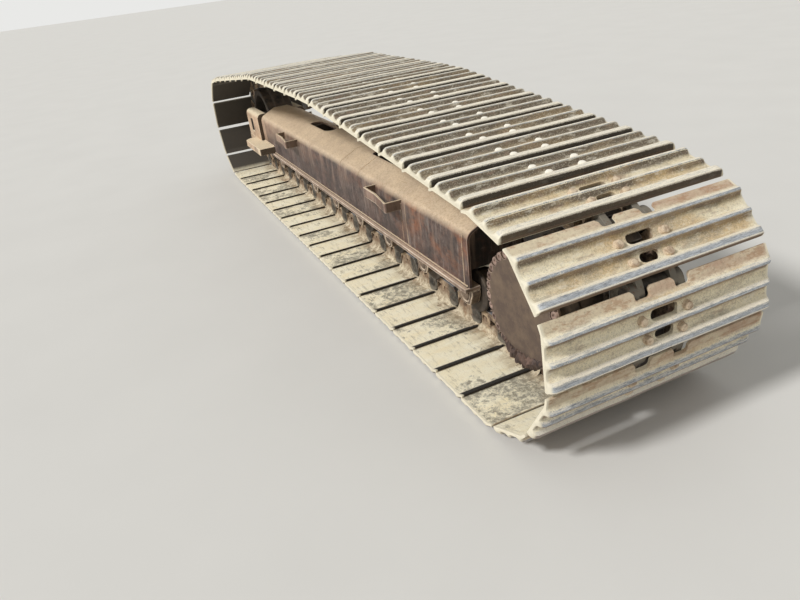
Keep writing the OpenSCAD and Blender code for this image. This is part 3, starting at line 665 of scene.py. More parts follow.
rollers = bmesh.new()
collars = bmesh.new()
roller_nodes = ["bottom_roller_%d" % i for i in range(1, 9)]
for node in roller_nodes:
    x = middle_of(node)[0]
    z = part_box(node)[0][2] + roller_rim
    half = filleted([(0, roller_radius - 0.014, 0), (0.034, roller_radius - 0.014, 0.004),
                     (0.042, roller_radius, 0.004), (tread_end, roller_radius, 0.008),
                     (tread_end, roller_rim, 0.004), (collar_inner - 0.006, roller_rim, 0.006),
                     (collar_inner - 0.006, 0.030, 0.004), (collar_inner + 0.004, 0.030, 0)])
    turned(rollers, x, z, both_ends(half), 48)
    outline = mirrored(x, [(collar_half, flange_foot, 0), (collar_half, flange_foot - 0.022, 0.006),
                           (0.036, z - 0.044, 0.03)], 6)
    collar = prism(bmesh.new(), outline, (collar_inner, collar_face), across_y)
    inner = mirrored(x, [(0.040, flange_foot - 0.004, 0.006), (0.022, z - 0.030, 0.022)], 6)
    hollow = prism(bmesh.new(), inner, (collar_face - 0.012, collar_face + 0.01), across_y)
    collar = carved(collar, hollow)
    round_edges(collar, 0.0045)
    shaft_end = [(collar_face - 0.014, 0.026, 0), (collar_face - 0.001, 0.026, 0.003),
                 (collar_face - 0.001, 0.009, 0.002), (collar_face - 0.006, 0.007, 0.001),
                 (collar_face - 0.006, 0.003, 0)]
    turned(collar, x, z, filleted(shaft_end), 32)
    cross_pin = [(collar_face - 0.014, 0.011, 0), (collar_face + 0.002, 0.011, 0.003),
                 (collar_face + 0.002, 0.004, 0)]
    turned(collar, x, z + 0.031, filleted(cross_pin), 20)
    both_sides(collar)
    part = bpy.data.meshes.new("part")
    collar.to_mesh(part)
    collar.free()
    collars.from_mesh(part)
    bpy.data.meshes.remove(part)
show("bottom_rollers", rollers, cast_steel, "cast_steel", *roller_nodes)
collar_steel = greasy_steel("dusty_cast_collars", "#4a3d34", "#a8917a", 0.9, "#e0cdb6")
show("roller_collars", collars, collar_steel, "cast_steel", *roller_nodes)


# Two carrier rollers hold the upper run of the chain. Each turns on a stub shaft, clamped in a cast
# bracket that stands on the beam's inboard slope.
carrier_rollers = bmesh.new()
for node in ("carrier_roller_rear", "carrier_roller_front"):
    low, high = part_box(node)
    x, _, z = middle_of(node)
    radius = (high[0] - low[0]) / 2
    outline = filleted([(low[1], 0.026, 0.003), (-tread_end, 0.026, 0), (-tread_end, radius - 0.012, 0.006),
                        (-0.040, radius - 0.012, 0.004), (-0.035, radius, 0.006), (0.035, radius, 0.006),
                        (0.040, radius - 0.012, 0.004), (tread_end, radius - 0.012, 0.008),
                        (tread_end, 0.040, 0.01), (tread_end - 0.004, 0.034, 0.004),
                        (tread_end - 0.004, 0.006, 0)])
    turned(carrier_rollers, x, z, outline, 48)
show("carrier_rollers", carrier_rollers, cast_steel, "cast_steel",
     "carrier_roller_rear", "carrier_roller_front")

roller_z = middle_of("carrier_roller_rear")[2]
for node in ("carrier_bracket_rear", "carrier_bracket_front"):
    low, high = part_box(node)
    x = middle_of(node)[0]
    foot_half = (high[0] - low[0]) / 2
    outline = mirrored(x, [(foot_half, low[2] - 0.01, 0), (foot_half, low[2] + 0.012, 0.004),
                           (0.048, roller_z, 0.05), (0.034, high[2], 0.02)], 6)
    bracket = prism(bmesh.new(), outline, (low[1], high[1]), across_y)
    round_edges(bracket, 0.004)
    # The clamp's bolt
    turned(bracket, x, high[2] - 0.012, [(low[1] - 0.008, 0.011), (high[1] + 0.008, 0.011)], 6)
    show(node + "_casting", bracket, beam_enamel, "frame_paint", node)


# The drive's mounting plate: 25 mm plate that runs back from the beam's inboard wall and ends in a
# round. The drive's turning parts are bolted to its outboard face, and the motor comes through it.
mount_low, mount_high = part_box("drive_mount")
mount_radius = sprocket_x - mount_low[0]
corner_top = Vector((beam_rear - 0.004 - sprocket_x, shoulder_z + shoulder_radius / 2 - sprocket_z))
corner_foot = Vector((beam_rear - 0.004 - sprocket_x, flange_foot - sprocket_z))


def tangent_angle(corner, side):
    """The angle at which a straight edge from a corner runs onto the plate's round."""
    return math.atan2(corner.y, corner.x) + side * math.acos(mount_radius / corner.length)


def by_drive(radius, angle):
    """The point (x, z) at a radius and an angle about the drive's axis."""
    return sprocket_x + radius * math.cos(angle), sprocket_z + radius * math.sin(angle)


start, stop = tangent_angle(corner_top, 1), tangent_angle(corner_foot, -1) + math.tau
round_steps = 48
round_end = [by_drive(mount_radius, start + (stop - start) * k / round_steps)
             for k in range(round_steps + 1)]
outline = ([(corner_top.x + sprocket_x, corner_top.y + sprocket_z)] + round_end
           + [(corner_foot.x + sprocket_x, corner_foot.y + sprocket_z)])
mount = prism(bmesh.new(), outline, (mount_low[1], mount_high[1]), across_y)
round_edges(mount, 0.003)
show("drive_plate", mount, beam_enamel, "frame_paint", "drive_mount")


# The final drive: a cast hub inboard of the sprocket, and outboard of it the drum that holds the gears,
# with the bolted flange that the sprocket sits on.
hub_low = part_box("drive_hub")[0]
housing_low, housing_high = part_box("drive_housing")
housing_radius = 0.176
rim_radius = (housing_high[0] - housing_low[0]) / 2
drive = bmesh.new()
turned(drive, sprocket_x, sprocket_z, filleted([
    (hub_low[1], 0.200, 0.003), (hub_low[1] + 0.024, 0.200, 0.004), (hub_low[1] + 0.024, 0.150, 0.006),
    (-0.060, 0.150, 0.01), (-0.045, 0.135, 0.006), (-0.031, 0.120, 0)]), 72)
turned(drive, sprocket_x, sprocket_z, filleted([
    (-0.031, 0.120, 0), (0.031, 0.120, 0), (0.031, rim_radius, 0.003), (0.053, rim_radius, 0.004),
    (0.053, housing_radius, 0.008), (0.140, housing_radius, 0.004), (0.150, housing_radius + 0.004, 0.004),
    (housing_high[1], housing_radius + 0.004, 0)]), 72)
rim_bolts = 20
for k in range(rim_bolts):
    place = by_drive(rim_radius - 0.016, math.tau * k / rim_bolts)
    turned(drive, *place, [(0.050, 0.013), (0.064, 0.013), (0.067, 0.010)], 6)
show("final_drive", drive, cast_steel, "cast_steel", "drive_hub", "drive_housing")


# The drive's cover: a turned steel lid in matt purple-brown enamel, with a ring of cap screws sunk in
# half-round notches round its rim. Grease and dried mud cake the screws at the foot.
cover_screws = 30
cover_low, cover_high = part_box("drive_cover")
cover_radius = (cover_high[0] - cover_low[0]) / 2
cover_face = cover_high[1]
rim_width = 0.030
screw_circle = cover_radius - 0.012
screw_radius = 0.0145
lid_notch = 0.0185
cover = turned(bmesh.new(), sprocket_x, sprocket_z, filleted([
    (cover_low[1], cover_radius - 0.010, 0), (cover_low[1] + 0.004, cover_radius, 0.004),
    (cover_face - 0.004, cover_radius, 0.003), (cover_face, cover_radius - 0.004, 0.002),
    (cover_face, cover_radius - rim_width, 0), (cover_face, 0.010, 0)]), 120)
notches, screws = bmesh.new(), bmesh.new()
for k in range(cover_screws):
    angle = math.tau * (k + 0.5) / cover_screws
    turned(notches, *by_drive(screw_circle + 0.004, angle),
           [(cover_face - 0.012, lid_notch), (cover_face + 0.01, lid_notch)], 20)
    head = cover_face - 0.003 + 0.002 * noise.noise(Vector((k * 3.7, 0, 0)))
    turned(screws, *by_drive(screw_circle, angle), filleted([
        (cover_face - 0.013, screw_radius, 0), (head, screw_radius, 0.002), (head, 0.006, 0.001),
        (head - 0.005, 0.0055, 0.001), (head - 0.005, 0.002, 0)], 2), 18)
cover = carved(cover, notches)
round_edges(cover, 0.0036)

# Purple-brown enamel over a turned face: nearly even, a little lighter where dust has stuck, darker with
# grease at the foot, and rubbed to pinkish primer on the edges, painted pale enough to be a painted
# highlight too.
cover_enamel, add = new_finish("purple_brown_enamel")
spot = add("TexCoord").outputs["Object"]
rubbed = add("Attribute", attribute_name="rubbed").outputs["Fac"]
height = add("SeparateXYZ", spot).outputs["Z"]
clouds = add("TexNoise", spot, Scale=14.0, Detail=8.0, Roughness=0.65)
cloud = add("MapRange", clouds, 0.38, 0.66)
paint = add("MixRGB", cloud, "#56463b", "#75624f")
greasy = add("MapRange", height, sprocket_z - 0.130, sprocket_z - 0.175, 0.0, 0.8)
dark = add("MixRGB", greasy, paint, "#2c211e")
specks = add("TexNoise", spot, Scale=160.0, Detail=4.0, Roughness=0.7)
speck = add("MapRange", specks, 0.60, 0.72, 0.0, 0.45)
specked = add("MixRGB", speck, dark, "#8f7a70")
# Rubbed edges: worn primer, painted pale as a painted highlight too
patchy = add("MapRange", cloud, 0.0, 1.0, 0.45)
worn = add("Math", rubbed, patchy, operation="MULTIPLY")
colour = add("MixRGB", worn, specked, "#d6bbad")
relief = add("Bump", Strength=0.2, Distance=0.001, Height=specks)
shader = add("BsdfPrincipled", colour, Roughness=0.62, Normal=relief)
add("OutputMaterial", shader)
show("drive_lid", cover, cover_enamel, "cover_paint", "drive_cover")
screw_steel = greasy_steel("muddy_cap_screws", "#5a463d", "#c4a99a", 0.95, "#ead6c9")
show("lid_screws", screws, screw_steel, "cover_paint", "drive_cover")


# The sprocket: a flame-cut and hardened ring whose every second tooth gap takes a bush of the chain.
# The tooth flanks are polished by the bushes.
LINK_PITCH = 0.190
teeth = 20
pitch_radius = LINK_PITCH / 2 / math.sin(math.tau / teeth)
first_pin = math.radians(156.7)
sprocket_low, sprocket_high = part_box("sprocket")
tip_radius = (sprocket_high[2] - sprocket_low[2]) / 2
pocket = 0.0295
outline = []
for k in range(teeth):
    middle = first_pin + math.tau * k / teeth
    spoke = Vector((math.cos(middle), math.sin(middle)))
    across = Vector((-spoke.y, spoke.x))
    points = [pitch_radius * spoke + pocket * (math.cos(a) * spoke + math.sin(a) * across)
              for a in (math.radians(-100 - 160 * i / 10) for i in range(11))]
    lift = math.asin(pocket * 1.12 / tip_radius)
    tips = [tip_radius * Vector((math.cos(a), math.sin(a))) for a in (middle - lift, middle + lift)]
    outline += [tips[0]] + points + [tips[1]]
outline = [(sprocket_x + p.x, sprocket_z + p.y) for p in outline]
ring = prism(bmesh.new(), outline, (sprocket_low[1], sprocket_high[1]), across_y)
round_edges(ring, 0.003)
show("sprocket_ring", ring, cast_steel, "cast_steel", "sprocket")


# The travel motor, inboard of its plate: a cast case with a bolted end plate, and over it a bent guard of
# 12 mm plate welded to the mounting plate.
motor_low, motor_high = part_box("travel_motor")
motor_bolts = 8
motor = turned(bmesh.new(), sprocket_x, sprocket_z, filleted([
    (motor_low[1], 0.055, 0.01), (motor_low[1], 0.0735, 0.012), (motor_low[1] + 0.030, 0.0735, 0.006),
    (motor_low[1] + 0.030, 0.105, 0.008), (motor_low[1] + 0.060, 0.105, 0.004),
    (motor_low[1] + 0.066, 0.098, 0.004), (motor_high[1] - 0.03, 0.098, 0.004),
    (motor_high[1] - 0.024, 0.105, 0.004), (motor_high[1], 0.105, 0)]), 64)
for k in range(motor_bolts):
    turned(motor, *by_drive(0.088, math.tau * (k + 0.5) / motor_bolts),
           [(motor_low[1] + 0.024, 0.0085), (motor_low[1] + 0.034, 0.0085)], 6)
show("motor_case", motor, cast_steel, "cast_steel", "travel_motor")

guard_low, guard_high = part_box("motor_guard")
guard_radius = (guard_high[0] - guard_low[0]) / 2
edge_z = guard_high[2] - sprocket_z
edge_angle = math.asin(edge_z / guard_radius)
arc_steps = 40
arc = [math.pi - edge_angle + (math.pi + 2 * edge_angle) * k / arc_steps for k in range(arc_steps + 1)]
outline = [by_drive(guard_radius, a) for a in arc]
outline += [by_drive(guard_radius - beam_wall, a) for a in reversed(arc)]
guard = prism(bmesh.new(), outline, np.linspace(guard_low[1], guard_high[1], 5), across_y)
round_edges(guard, 0.0025)
show("motor_shield", guard, beam_enamel, "frame_paint", "motor_guard")


# Two boxes welded to the beam's inboard wall, each closed by a thick drilled plate that a leg of the
# car body is bolted to.
bolt_gap_x, bolt_gap_z = 0.320, 0.110
bolt_hole = 0.0135
pad_plate = 0.026
for node in ("mounting_pad_rear", "mounting_pad_front"):
    low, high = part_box(node)
    middle_x, _, middle_z = middle_of(node)
    across, up = (low[0], high[0]), (low[2], high[2])
    pad = prism(bmesh.new(), rectangle(across, up), (low[1] + pad_plate, high[1]), across_y)
    prism(pad, rectangle(across, up, 0.012), (low[1], low[1] + pad_plate), across_y)
    holes = bmesh.new()
    for sx in (-0.5, 0.5):
        for sz in (-0.5, 0.5):
            turned(holes, middle_x + sx * bolt_gap_x, middle_z + sz * bolt_gap_z,
                   [(low[1] - 0.01, bolt_hole), (low[1] + 0.022, bolt_hole)], 32)
    pad = carved(pad, holes)
    round_edges(pad, 0.002)
    rim = rectangle(across, up)
    weld(pad, [(x, -beam_half - 0.001, z) for x, z in rim + rim[:1]], 0.006)
    show(node + "_box", pad, beam_enamel, "frame_paint", node)


# The chain: 49 forged links a side, joined by a hardened pin in a bush at every pitch. Its pins lie on
# a belt that runs round the sprocket, over the two carrier rollers, round the idler and back along the
# ground.
LINKS = 49
SEAT = 0.046
rail_depth = 0.054
carrier_tread, carrier_slack = 0.062, 0.005
carrier_pin_radius = carrier_tread + rail_depth + carrier_slack
idler_pin_radius = math.hypot(tread_radius + 0.0003 + rail_depth, LINK_PITCH / 2)
wheels = [(sprocket_x, sprocket_z, pitch_radius)]
for node in ("carrier_roller_rear", "carrier_roller_front"):
    wheels.append((middle_of(node)[0], roller_z, carrier_pin_radius))
wheels.append((idler_x, idler_z, idler_pin_radius))


def rim_point(wheel, angle):
    return Vector((wheel[0] + wheel[2] * math.cos(angle), wheel[1] + wheel[2] * math.sin(angle)))


def leaving_angle(wheel, after):
    """The angle at which the belt, running clockwise, leaves one wheel for the next."""
    step = Vector((after[0] - wheel[0], after[1] - wheel[1]))
    return math.atan2(step.y, step.x) + math.acos((wheel[2] - after[2]) / step.length)


belt = []
angle = first_pin
for i, wheel in enumerate(wheels):
    after = wheels[(i + 1) % len(wheels)]
    leave = leaving_angle(wheel, after)
    belt.append((wheel, angle, (angle - leave) % math.tau))
    belt.append((rim_point(wheel, leave), rim_point(after, leave)))
    angle = leave
belt.append((wheels[0], angle, (angle - first_pin) % math.tau))


def belt_point(distance):
    """The point on the belt at a distance along it from the first pin."""
    for stretch in belt:
        length = stretch[0][2] * stretch[2] if len(stretch) == 3 else (stretch[1] - stretch[0]).length
        if distance <= length or stretch is belt[-1]:
            break
        distance -= length
    if len(stretch) == 3:
        return rim_point(stretch[0], stretch[1] - distance / stretch[0][2])
    return stretch[0].lerp(stretch[1], distance / length)


def pin_distances(pitch):
    """Distances along the belt of pins that are one pitch apart in a straight line."""
    places = [0.0]
    for _ in range(LINKS):
        ahead = pitch
        for _ in range(5):
            ahead += pitch - (belt_point(places[-1] + ahead) - belt_point(places[-1])).length
        places.append(places[-1] + ahead)
    return places


belt_length = sum(s[0][2] * s[2] if len(s) == 3 else (s[1] - s[0]).length for s in belt)
fitted_pitch = LINK_PITCH * belt_length / pin_distances(LINK_PITCH)[LINKS]
pins = [belt_point(d) for d in pin_distances(fitted_pitch)[:LINKS]]


def mesh_arrays(bm):
    """A mesh's points as rows, its faces as lists, and how rubbed each face is."""
    rubbed = bm.faces.layers.float.get("rubbed")
    bm.verts.index_update()
    points = np.array([v.co[:] for v in bm.verts])
    faces = [[v.index for v in f.verts] for f in bm.faces]
    worn = np.array([f[rubbed] if rubbed else 0.0 for f in bm.faces])
    bm.free()
    return points, faces, worn


def along_chain(name, master, finish, slot, shape=None, at_pins=False):
    """Copies of one mesh, one for each link, as one piece.

    The master's own directions are (along the chain, across it, out from it), from the middle of its link
    or from its pin. The finish reads these as own_place. It reads own_traits as a number between 0 and 1
    for each copy, and how closed the joint is at the copy's leading pin and at its trailing pin, from 0 on
    a wheel to 1 in a straight run.
    """
    points, faces, worn = master
    ways = [(pins[(i + 1) % LINKS] - pins[i]).normalized() for i in range(LINKS)]
    closed = [1.0 if ways[i - 1].angle(ways[i]) < math.radians(6) else 0.0 for i in range(LINKS)]
    all_points, all_traits, all_faces = [], [], []
    for i, way in enumerate(ways):
        origin = pins[i] if at_pins else (pins[i] + pins[(i + 1) % LINKS]) / 2
        local = shape(points.copy(), i) if shape else points
        placed = np.empty_like(local)
        placed[:, 0] = origin.x + local[:, 0] * way.x - local[:, 2] * way.y
        placed[:, 1] = local[:, 1]
        placed[:, 2] = origin.y + local[:, 0] * way.y + local[:, 2] * way.x
        all_faces += [[v + i * len(points) for v in face[::-1]] for face in faces]
        all_points.append(placed)
        traits = ((i * 0.618034) % 1.0, closed[(i + 1) % LINKS], closed[i])
        all_traits.append(np.tile(traits, (len(points), 1)))
    mesh = bpy.data.meshes.new(name)
    mesh.from_pydata(np.concatenate(all_points).tolist(), [], all_faces)
    own_place = mesh.attributes.new("own_place", "FLOAT_VECTOR", "POINT")
    own_place.data.foreach_set("vector", np.tile(points, (LINKS, 1)).ravel())
    own_traits = mesh.attributes.new("own_traits", "FLOAT_VECTOR", "POINT")
    own_traits.data.foreach_set("vector", np.concatenate(all_traits).ravel())
    rubbed = mesh.attributes.new("rubbed", "FLOAT", "FACE")
    rubbed.data.foreach_set("value", np.tile(worn, LINKS))
    bm = bmesh.new()
    bm.from_mesh(mesh)
    bpy.data.meshes.remove(mesh)
    return show(name, bm, finish, slot, "track")


# A forged link lies inboard at its bush and outboard at its pin, half its thickness over, so that its
# ends lap the next link's. Its rail is flat, its seat carries the shoe, and two windows give room for
# the shoe bolts' nuts.
link_inner, link_middle, link_outer = 0.048, 0.0705, 0.094
lobe_radius = 0.037
half_pitch = LINK_PITCH / 2


def link_half(end, low, high):
    """Half a link's thickness, with the lobe round the pin at its end (1 or -1)."""
    lobe = [(end * (half_pitch + lobe_radius * math.cos(a)), lobe_radius * math.sin(a))
            for a in (math.radians(-48 + 118 * k / 9) for k in range(10))]
    corners = [(-end * 0.052, -rail_depth, 0.006), (end * 0.098, -rail_depth, 0.010)]
    seat = [(end * 0.070, SEAT, 0.006), (-end * 0.052, SEAT, 0.006)]
    outline = filleted(corners + [(u, v, 0) for u, v in lobe] + seat, 3)
    return prism(bmesh.new(), outline, (low, high), across_y)


link = carved(link_half(1, link_middle, link_outer), link_half(-1, link_inner, link_middle), "UNION")
windows = bmesh.new()
for middle in (-0.029, 0.029):
    outline = rectangle((middle - 0.019, middle + 0.019), (-0.024, 0.014), 0.010, 3)
    prism(windows, outline, (link_inner - 0.01, link_outer + 0.01), across_y)
link = carved(link, windows)
round_edges(link, 0.003)


# Forged links, oil-quenched and then never cleaned: black-brown where wet mud has dried on grease, pale
# tan where dust lies, bare and bluish on the rail that the rollers run on.
link_steel, add = new_finish("quenched_forged_links")
spot = add("TexCoord").outputs["Object"]
own = add("SeparateXYZ", add("Attribute", attribute_name="own_place").outputs["Vector"])
rubbed = add("Attribute", attribute_name="rubbed").outputs["Fac"]
blotches = add("TexNoise", spot, Scale=22.0, Detail=8.0, Roughness=0.7)
muddy = add("MapRange", blotches, 0.42, 0.60)
lobe = add("MapRange", add("Math", own.outputs["X"], operation="ABSOLUTE"), 0.050, 0.068)
lobe_mud = add("MixRGB", muddy, "#35312b", "#6a655a")
mud = add("MixRGB", muddy, "#5d4c3f", "#b39c80")
outward = add("MapRange", own.outputs["Z"], 0.012, 0.030, 0.0, 0.6)
lobe_mud = add("MixRGB", outward, lobe_mud, "#8d8678")
mud = add("MixRGB", lobe, mud, lobe_mud)
specks = add("TexNoise", spot, Scale=90.0, Detail=5.0, Roughness=0.7)
rust = add("MapRange", specks, 0.56, 0.66, 0.0, 0.7)
rusty = add("MixRGB", rust, mud, "#6f4a35")
edge = add("Math", rubbed, muddy, operation="MULTIPLY")
edged = add("MixRGB", edge, rusty, "#b3aca4")
rail = add("MapRange", own.outputs["Z"], -0.050, -0.0535, 0.0, 0.85)
colour = add("MixRGB", rail, edged, "#8c8b8e")
rough = add("MapRange", rail, 0.0, 1.0, 0.75, 0.35)
relief = add("Bump", Strength=0.5, Distance=0.003, Height=specks)
shader = add("BsdfPrincipled", colour, Roughness=rough, Metallic=0.1, Normal=relief)
add("OutputMaterial", shader)

for name, side in (("links_outboard", 1), ("links_inboard", -1)):
    row = link.copy()
    if side < 0:
        bmesh.ops.scale(row, vec=(1, -1, 1), verts=row.verts[:])
        bmesh.ops.reverse_faces(row, faces=row.faces[:])
    along_chain(name, mesh_arrays(row), link_steel, "shoe_steel")

# Bushes are hard smooth tubes between the two rows, and each pin's ends stand flush in the outer link
# ends.
bush_radius = 0.028
half = filleted([(0, bush_radius, 0), (0.044, bush_radius, 0), (0.050, bush_radius + 0.003, 0.002)])
bush = turned(bmesh.new(), 0, 0, both_ends(half), 28)
for side in (-1, 1):
    turned(bush, 0, 0, filleted([(side * 0.086, 0.019, 0), (side * 0.0955, 0.019, 0.002),
                                 (side * 0.0955, 0.006, 0.002), (side * 0.091, 0.003, 0)]), 24)
pin_steel = greasy_steel("greasy_bushes_and_pins", "#262220", "#6e6558", 0.7)
along_chain("bushes_and_pins", mesh_arrays(bush), pin_steel, "shoe_steel", at_pins=True)


# The shoes: bars of rolled section with three grousers, cut to 800 mm. The leading edge is bent in so
# that it laps under the next shoe, and carries two round notches that clear the link ends. Two holes
# between the bolts let mud fall out. Each shoe is a little different: crests worn down unevenly, ends
# rounded by stones.
shoe_half = 0.400
shoe_plate = SEAT + 0.010
crest = 0.078
bars = ((-0.061, 0.0110), (0.007, 0.0042), (0.075, 0.0042))
lap_start, lap_end = 0.093, 0.121
lap_drop = 0.012
flank = 0.0125
hole_rows = ((0.036, 0.096, 0.033), (-0.0250, 0.068, 0.030))
notch_middle = 0.071
notch_radius = 0.027
notch_depth = 0.029
end_round = 0.021

corners = [(-0.076, SEAT, 0.002), (-0.076, shoe_plate, 0.003)]
for bar, tip_half in bars:
    if bar > bars[0][0]:
        corners.append((bar - tip_half - flank, shoe_plate, 0.014))
    corners += [(bar - tip_half, crest, 0.0025), (bar + tip_half, crest, 0.0025),
                (bar + tip_half + flank, shoe_plate, 0.014)]
corners += [(lap_end, shoe_plate - lap_drop, 0.003), (lap_end, SEAT - lap_drop, 0.003),
            (lap_start, SEAT, 0.03)]
ends = [0.384, 0.391, 0.396, 0.399, shoe_half]
stations = [-y for y in reversed(ends)] + list(np.linspace(-0.372, 0.372, 17)) + ends
shoe = prism(bmesh.new(), filleted(corners, 2), stations, across_y)
cuts = bmesh.new()
for middle, length, width in hole_rows:
    outline = rectangle((middle - width / 2, middle + width / 2), (-length / 2, length / 2), 0.013, 4)
    prism(cuts, outline, (SEAT - 0.02, crest + 0.02), upward_z)
for side in (-1, 1):
    near, far = side * notch_middle - notch_radius, side * notch_middle + notch_radius
    outline = filleted([(lap_end + 0.02, near - 0.010, 0), (lap_end + 0.001, near - 0.010, 0),
                        (lap_end - 0.009, near, 0.008), (lap_end - notch_depth, near, notch_radius),
                        (lap_end - notch_depth, far, notch_radius), (lap_end - 0.009, far, 0.008),
                        (lap_end + 0.001, far + 0.010, 0), (lap_end + 0.02, far + 0.010, 0)], 5)
    prism(cuts, outline, (SEAT - 0.03, crest), upward_z)
shoe = carved(shoe, cuts)


def worn_shoe(points, number):
    """One shoe's own wear: its crests are lower here and there, and fall away to the plate at its ends."""
    height = np.clip((points[:, 2] - shoe_plate) / (crest - shoe_plate), 0, 1)
    past = np.maximum(0, np.abs(points[:, 1]) - (shoe_half - end_round))
    points[:, 2] -= height * (end_round - np.sqrt(np.maximum(0, end_round ** 2 - past ** 2))) * 0.9
    for k in np.flatnonzero(height > 0.3):
        along, across = points[k, :2]
        bar = round((along - bars[0][0]) / 0.068)
        wear = noise.noise(Vector((across * 3.1, bar * 5.3, number * 7.7)))
        fine = noise.noise(Vector((across * 16.0, bar * 3.3, number * 2.9)))
        points[k, 2] -= height[k] * (0.0020 + 0.0024 * wear + 0.0010 * fine)
        points[k, 0] += 0.0010 * height[k] * fine
    points[:, 1] += 0.0015 * noise.noise(Vector((number * 3.1, 4.0, 0.5)))
    return points


# Rolled boron steel, worn by stones and dry. The crests are bare and light, with pale scratches, painted
# bluish as a painted sky reflection. Below each crest the flank that the track drags behind it is painted
# dark as painted shade, which pales across the valley to painted light on the next flank. The bent edge is
# rusty pink, the cut ends are cream and painted brighter as painted light, and the inner face is cream with
# scuffs.
shoe_steel, add = new_finish("worn_rolled_boron_steel")
spot = add("SeparateXYZ", add("TexCoord").outputs["Object"])
place = add("Attribute", attribute_name="own_place").outputs["Vector"]
own = add("SeparateXYZ", place)
traits = add("SeparateXYZ", add("Attribute", attribute_name="own_traits").outputs["Vector"])
seed = add("Math", traits.outputs["X"], 60.0, operation="MULTIPLY")
own_pattern = {"W": seed, "noise_dimensions": "4D"}
# Dust in clouds 60 mm across, and grit of 5 mm, drawn coarser than it is
along_bar = add("Mapping", place, Scale=(1.0, 0.4, 1.0))
clouds = add("TexNoise", along_bar, Scale=22.0, Detail=7.0, Roughness=0.68, **own_pattern)
cloud = add("MapRange", clouds, 0.36, 0.64)
grit = add("TexNoise", place, Scale=110.0, Detail=6.0, Roughness=0.8, **own_pattern)
gritty = add("MapRange", grit, 0.50, 0.68, 0.0, 0.5)
sand = add("TexNoise", place, Scale=240.0, Detail=3.0, Roughness=0.8, **own_pattern)
# How far it is from a crest to the next one ahead of it, 0 to 59 mm, wandering by 10 mm
from_bar = add("Math", own.outputs["X"], -bars[0][0], operation="ADD")
phase = add("Math", from_bar, 0.0615, -0.0065, operation="WRAP")
wander = add("Math", clouds, 0.034, -0.017, operation="MULTIPLY_ADD")
valley = add("Math", phase, wander, operation="ADD")
# Across the valley the colour is painted from light at the leading flank to dark under the next crest:
# painted light and painted shade
pale = add("MapRange", valley, 0.016, 0.046)
dust = add("MixRGB", pale, "#fdf3d6", "#dfd0ae")
dark = add("MapRange", valley, 0.045, 0.054)
flank_shade = add("MixRGB", cloud, "#5a5242", "#766755")
dust = add("MixRGB", dark, dust, flank_shade)
# Yellow-tan stains
stains = add("TexNoise", along_bar, Scale=8.0, Detail=7.0, Roughness=0.66, **own_pattern)
stain = add("MapRange", stains, 0.50, 0.62, 0.0, 0.75)
dust = add("MixRGB", stain, dust, "#cdae7c")
greys = add("TexNoise", along_bar, Scale=11.0, Detail=8.0, Roughness=0.72, **own_pattern)
grey = add("MapRange", greys, 0.53, 0.61, 0.0, 0.55)
dust = add("MixRGB", grey, dust, "#9b9587")
# On the straight runs the valleys are darker
darker_on_runs = add("MapRange", traits.outputs["Y"], 0.0, 1.0, 0.0, 0.6)
dust = add("MixRGB", darker_on_runs, dust, "#625646")
dust = add("MixRGB", gritty, dust, "#a1978a")
sandy = add("MapRange", sand, 0.52, 0.62, 0.0, 0.38)
dust = add("MixRGB", sandy, dust, "#7a6f5c")
sandy = add("MapRange", sand, 0.48, 0.38, 0.0, 0.40)
dust = add("MixRGB", sandy, dust, "#f6ecd4")
# Mottling of 25 mm: rust-pink where the dust has come off, chalk white where it is thickest
mottles = add("TexNoise", along_bar, Scale=48.0, Detail=6.0, Roughness=0.7, **own_pattern)
pink = add("MapRange", mottles, 0.54, 0.64, 0.0, 0.5)
chalk = add("MapRange", mottles, 0.45, 0.36, 0.0, 0.6)
dust = add("MixRGB", pink, dust, "#a08674")
dust = add("MixRGB", chalk, dust, "#ece4d2")
# The bent edge, rusty pink towards its inboard end and cream towards the other
rosy = add("MapRange", own.outputs["Y"], 0.30, -0.10, 0.25, 0.9)
patchy = add("Math", rosy, cloud, operation="MULTIPLY")
lap = add("MixRGB", patchy, "#e0d2b4", "#b8967f")
speckle = add("MapRange", mottles, 0.50, 0.58, 0.0, 0.65)
lap = add("MixRGB", speckle, lap, "#b18a6b")
lap = add("MixRGB", gritty, lap, "#86705e")
bent = add("MapRange", own.outputs["X"], 0.086, 0.096)
outer = add("MixRGB", bent, dust, lap)
# The upright face under the trailing bar is painted near black, as painted shade
tail_shade = add("MapRange", own.outputs["X"], -0.0704, -0.0714, 0.0, 0.85)
outer = add("MixRGB", tail_shade, outer, "#2f2920")
# Where two shoes lap in a straight run, the joint is painted black, as painted shadow
in_lap = add("MapRange", own.outputs["X"], 0.096, 0.101)
lap_shadow = add("Math", in_lap, traits.outputs["Y"], operation="MULTIPLY")
at_tail = add("MapRange", own.outputs["X"], -0.0740, -0.0758)
lap_shadow = add("Math", at_tail, traits.outputs["Z"], lap_shadow, operation="MULTIPLY_ADD")
outer = add("MixRGB", lap_shadow, outer, "#26211b")
# Bare crests, their steel painted bluish as a painted sky reflection
long = add("Mapping", place, Scale=(8.0, 1.0, 4.0))
scratches = add("TexNoise", long, Scale=40.0, Detail=8.0, Roughness=0.8, **own_pattern)
bright = add("MapRange", scratches, 0.42, 0.56)
# The leading part of each crest is painted cream, as a painted highlight
side = add("Math", bright, 0.006, phase, operation="MULTIPLY_ADD")
lit_leading_part = add("MapRange", side, 0.009, 0.015)
bare = add("MixRGB", bright, "#858a90", "#c8ccd0")
bare = add("MixRGB", lit_leading_part, bare, "#e6dfcf")
flecks = add("MapRange", grit, 0.57, 0.67, 0.0, 0.5)
bare = add("MixRGB", flecks, bare, "#dcd8cf")
facing = add("SeparateXYZ", add("NewGeometry").outputs["Normal"])
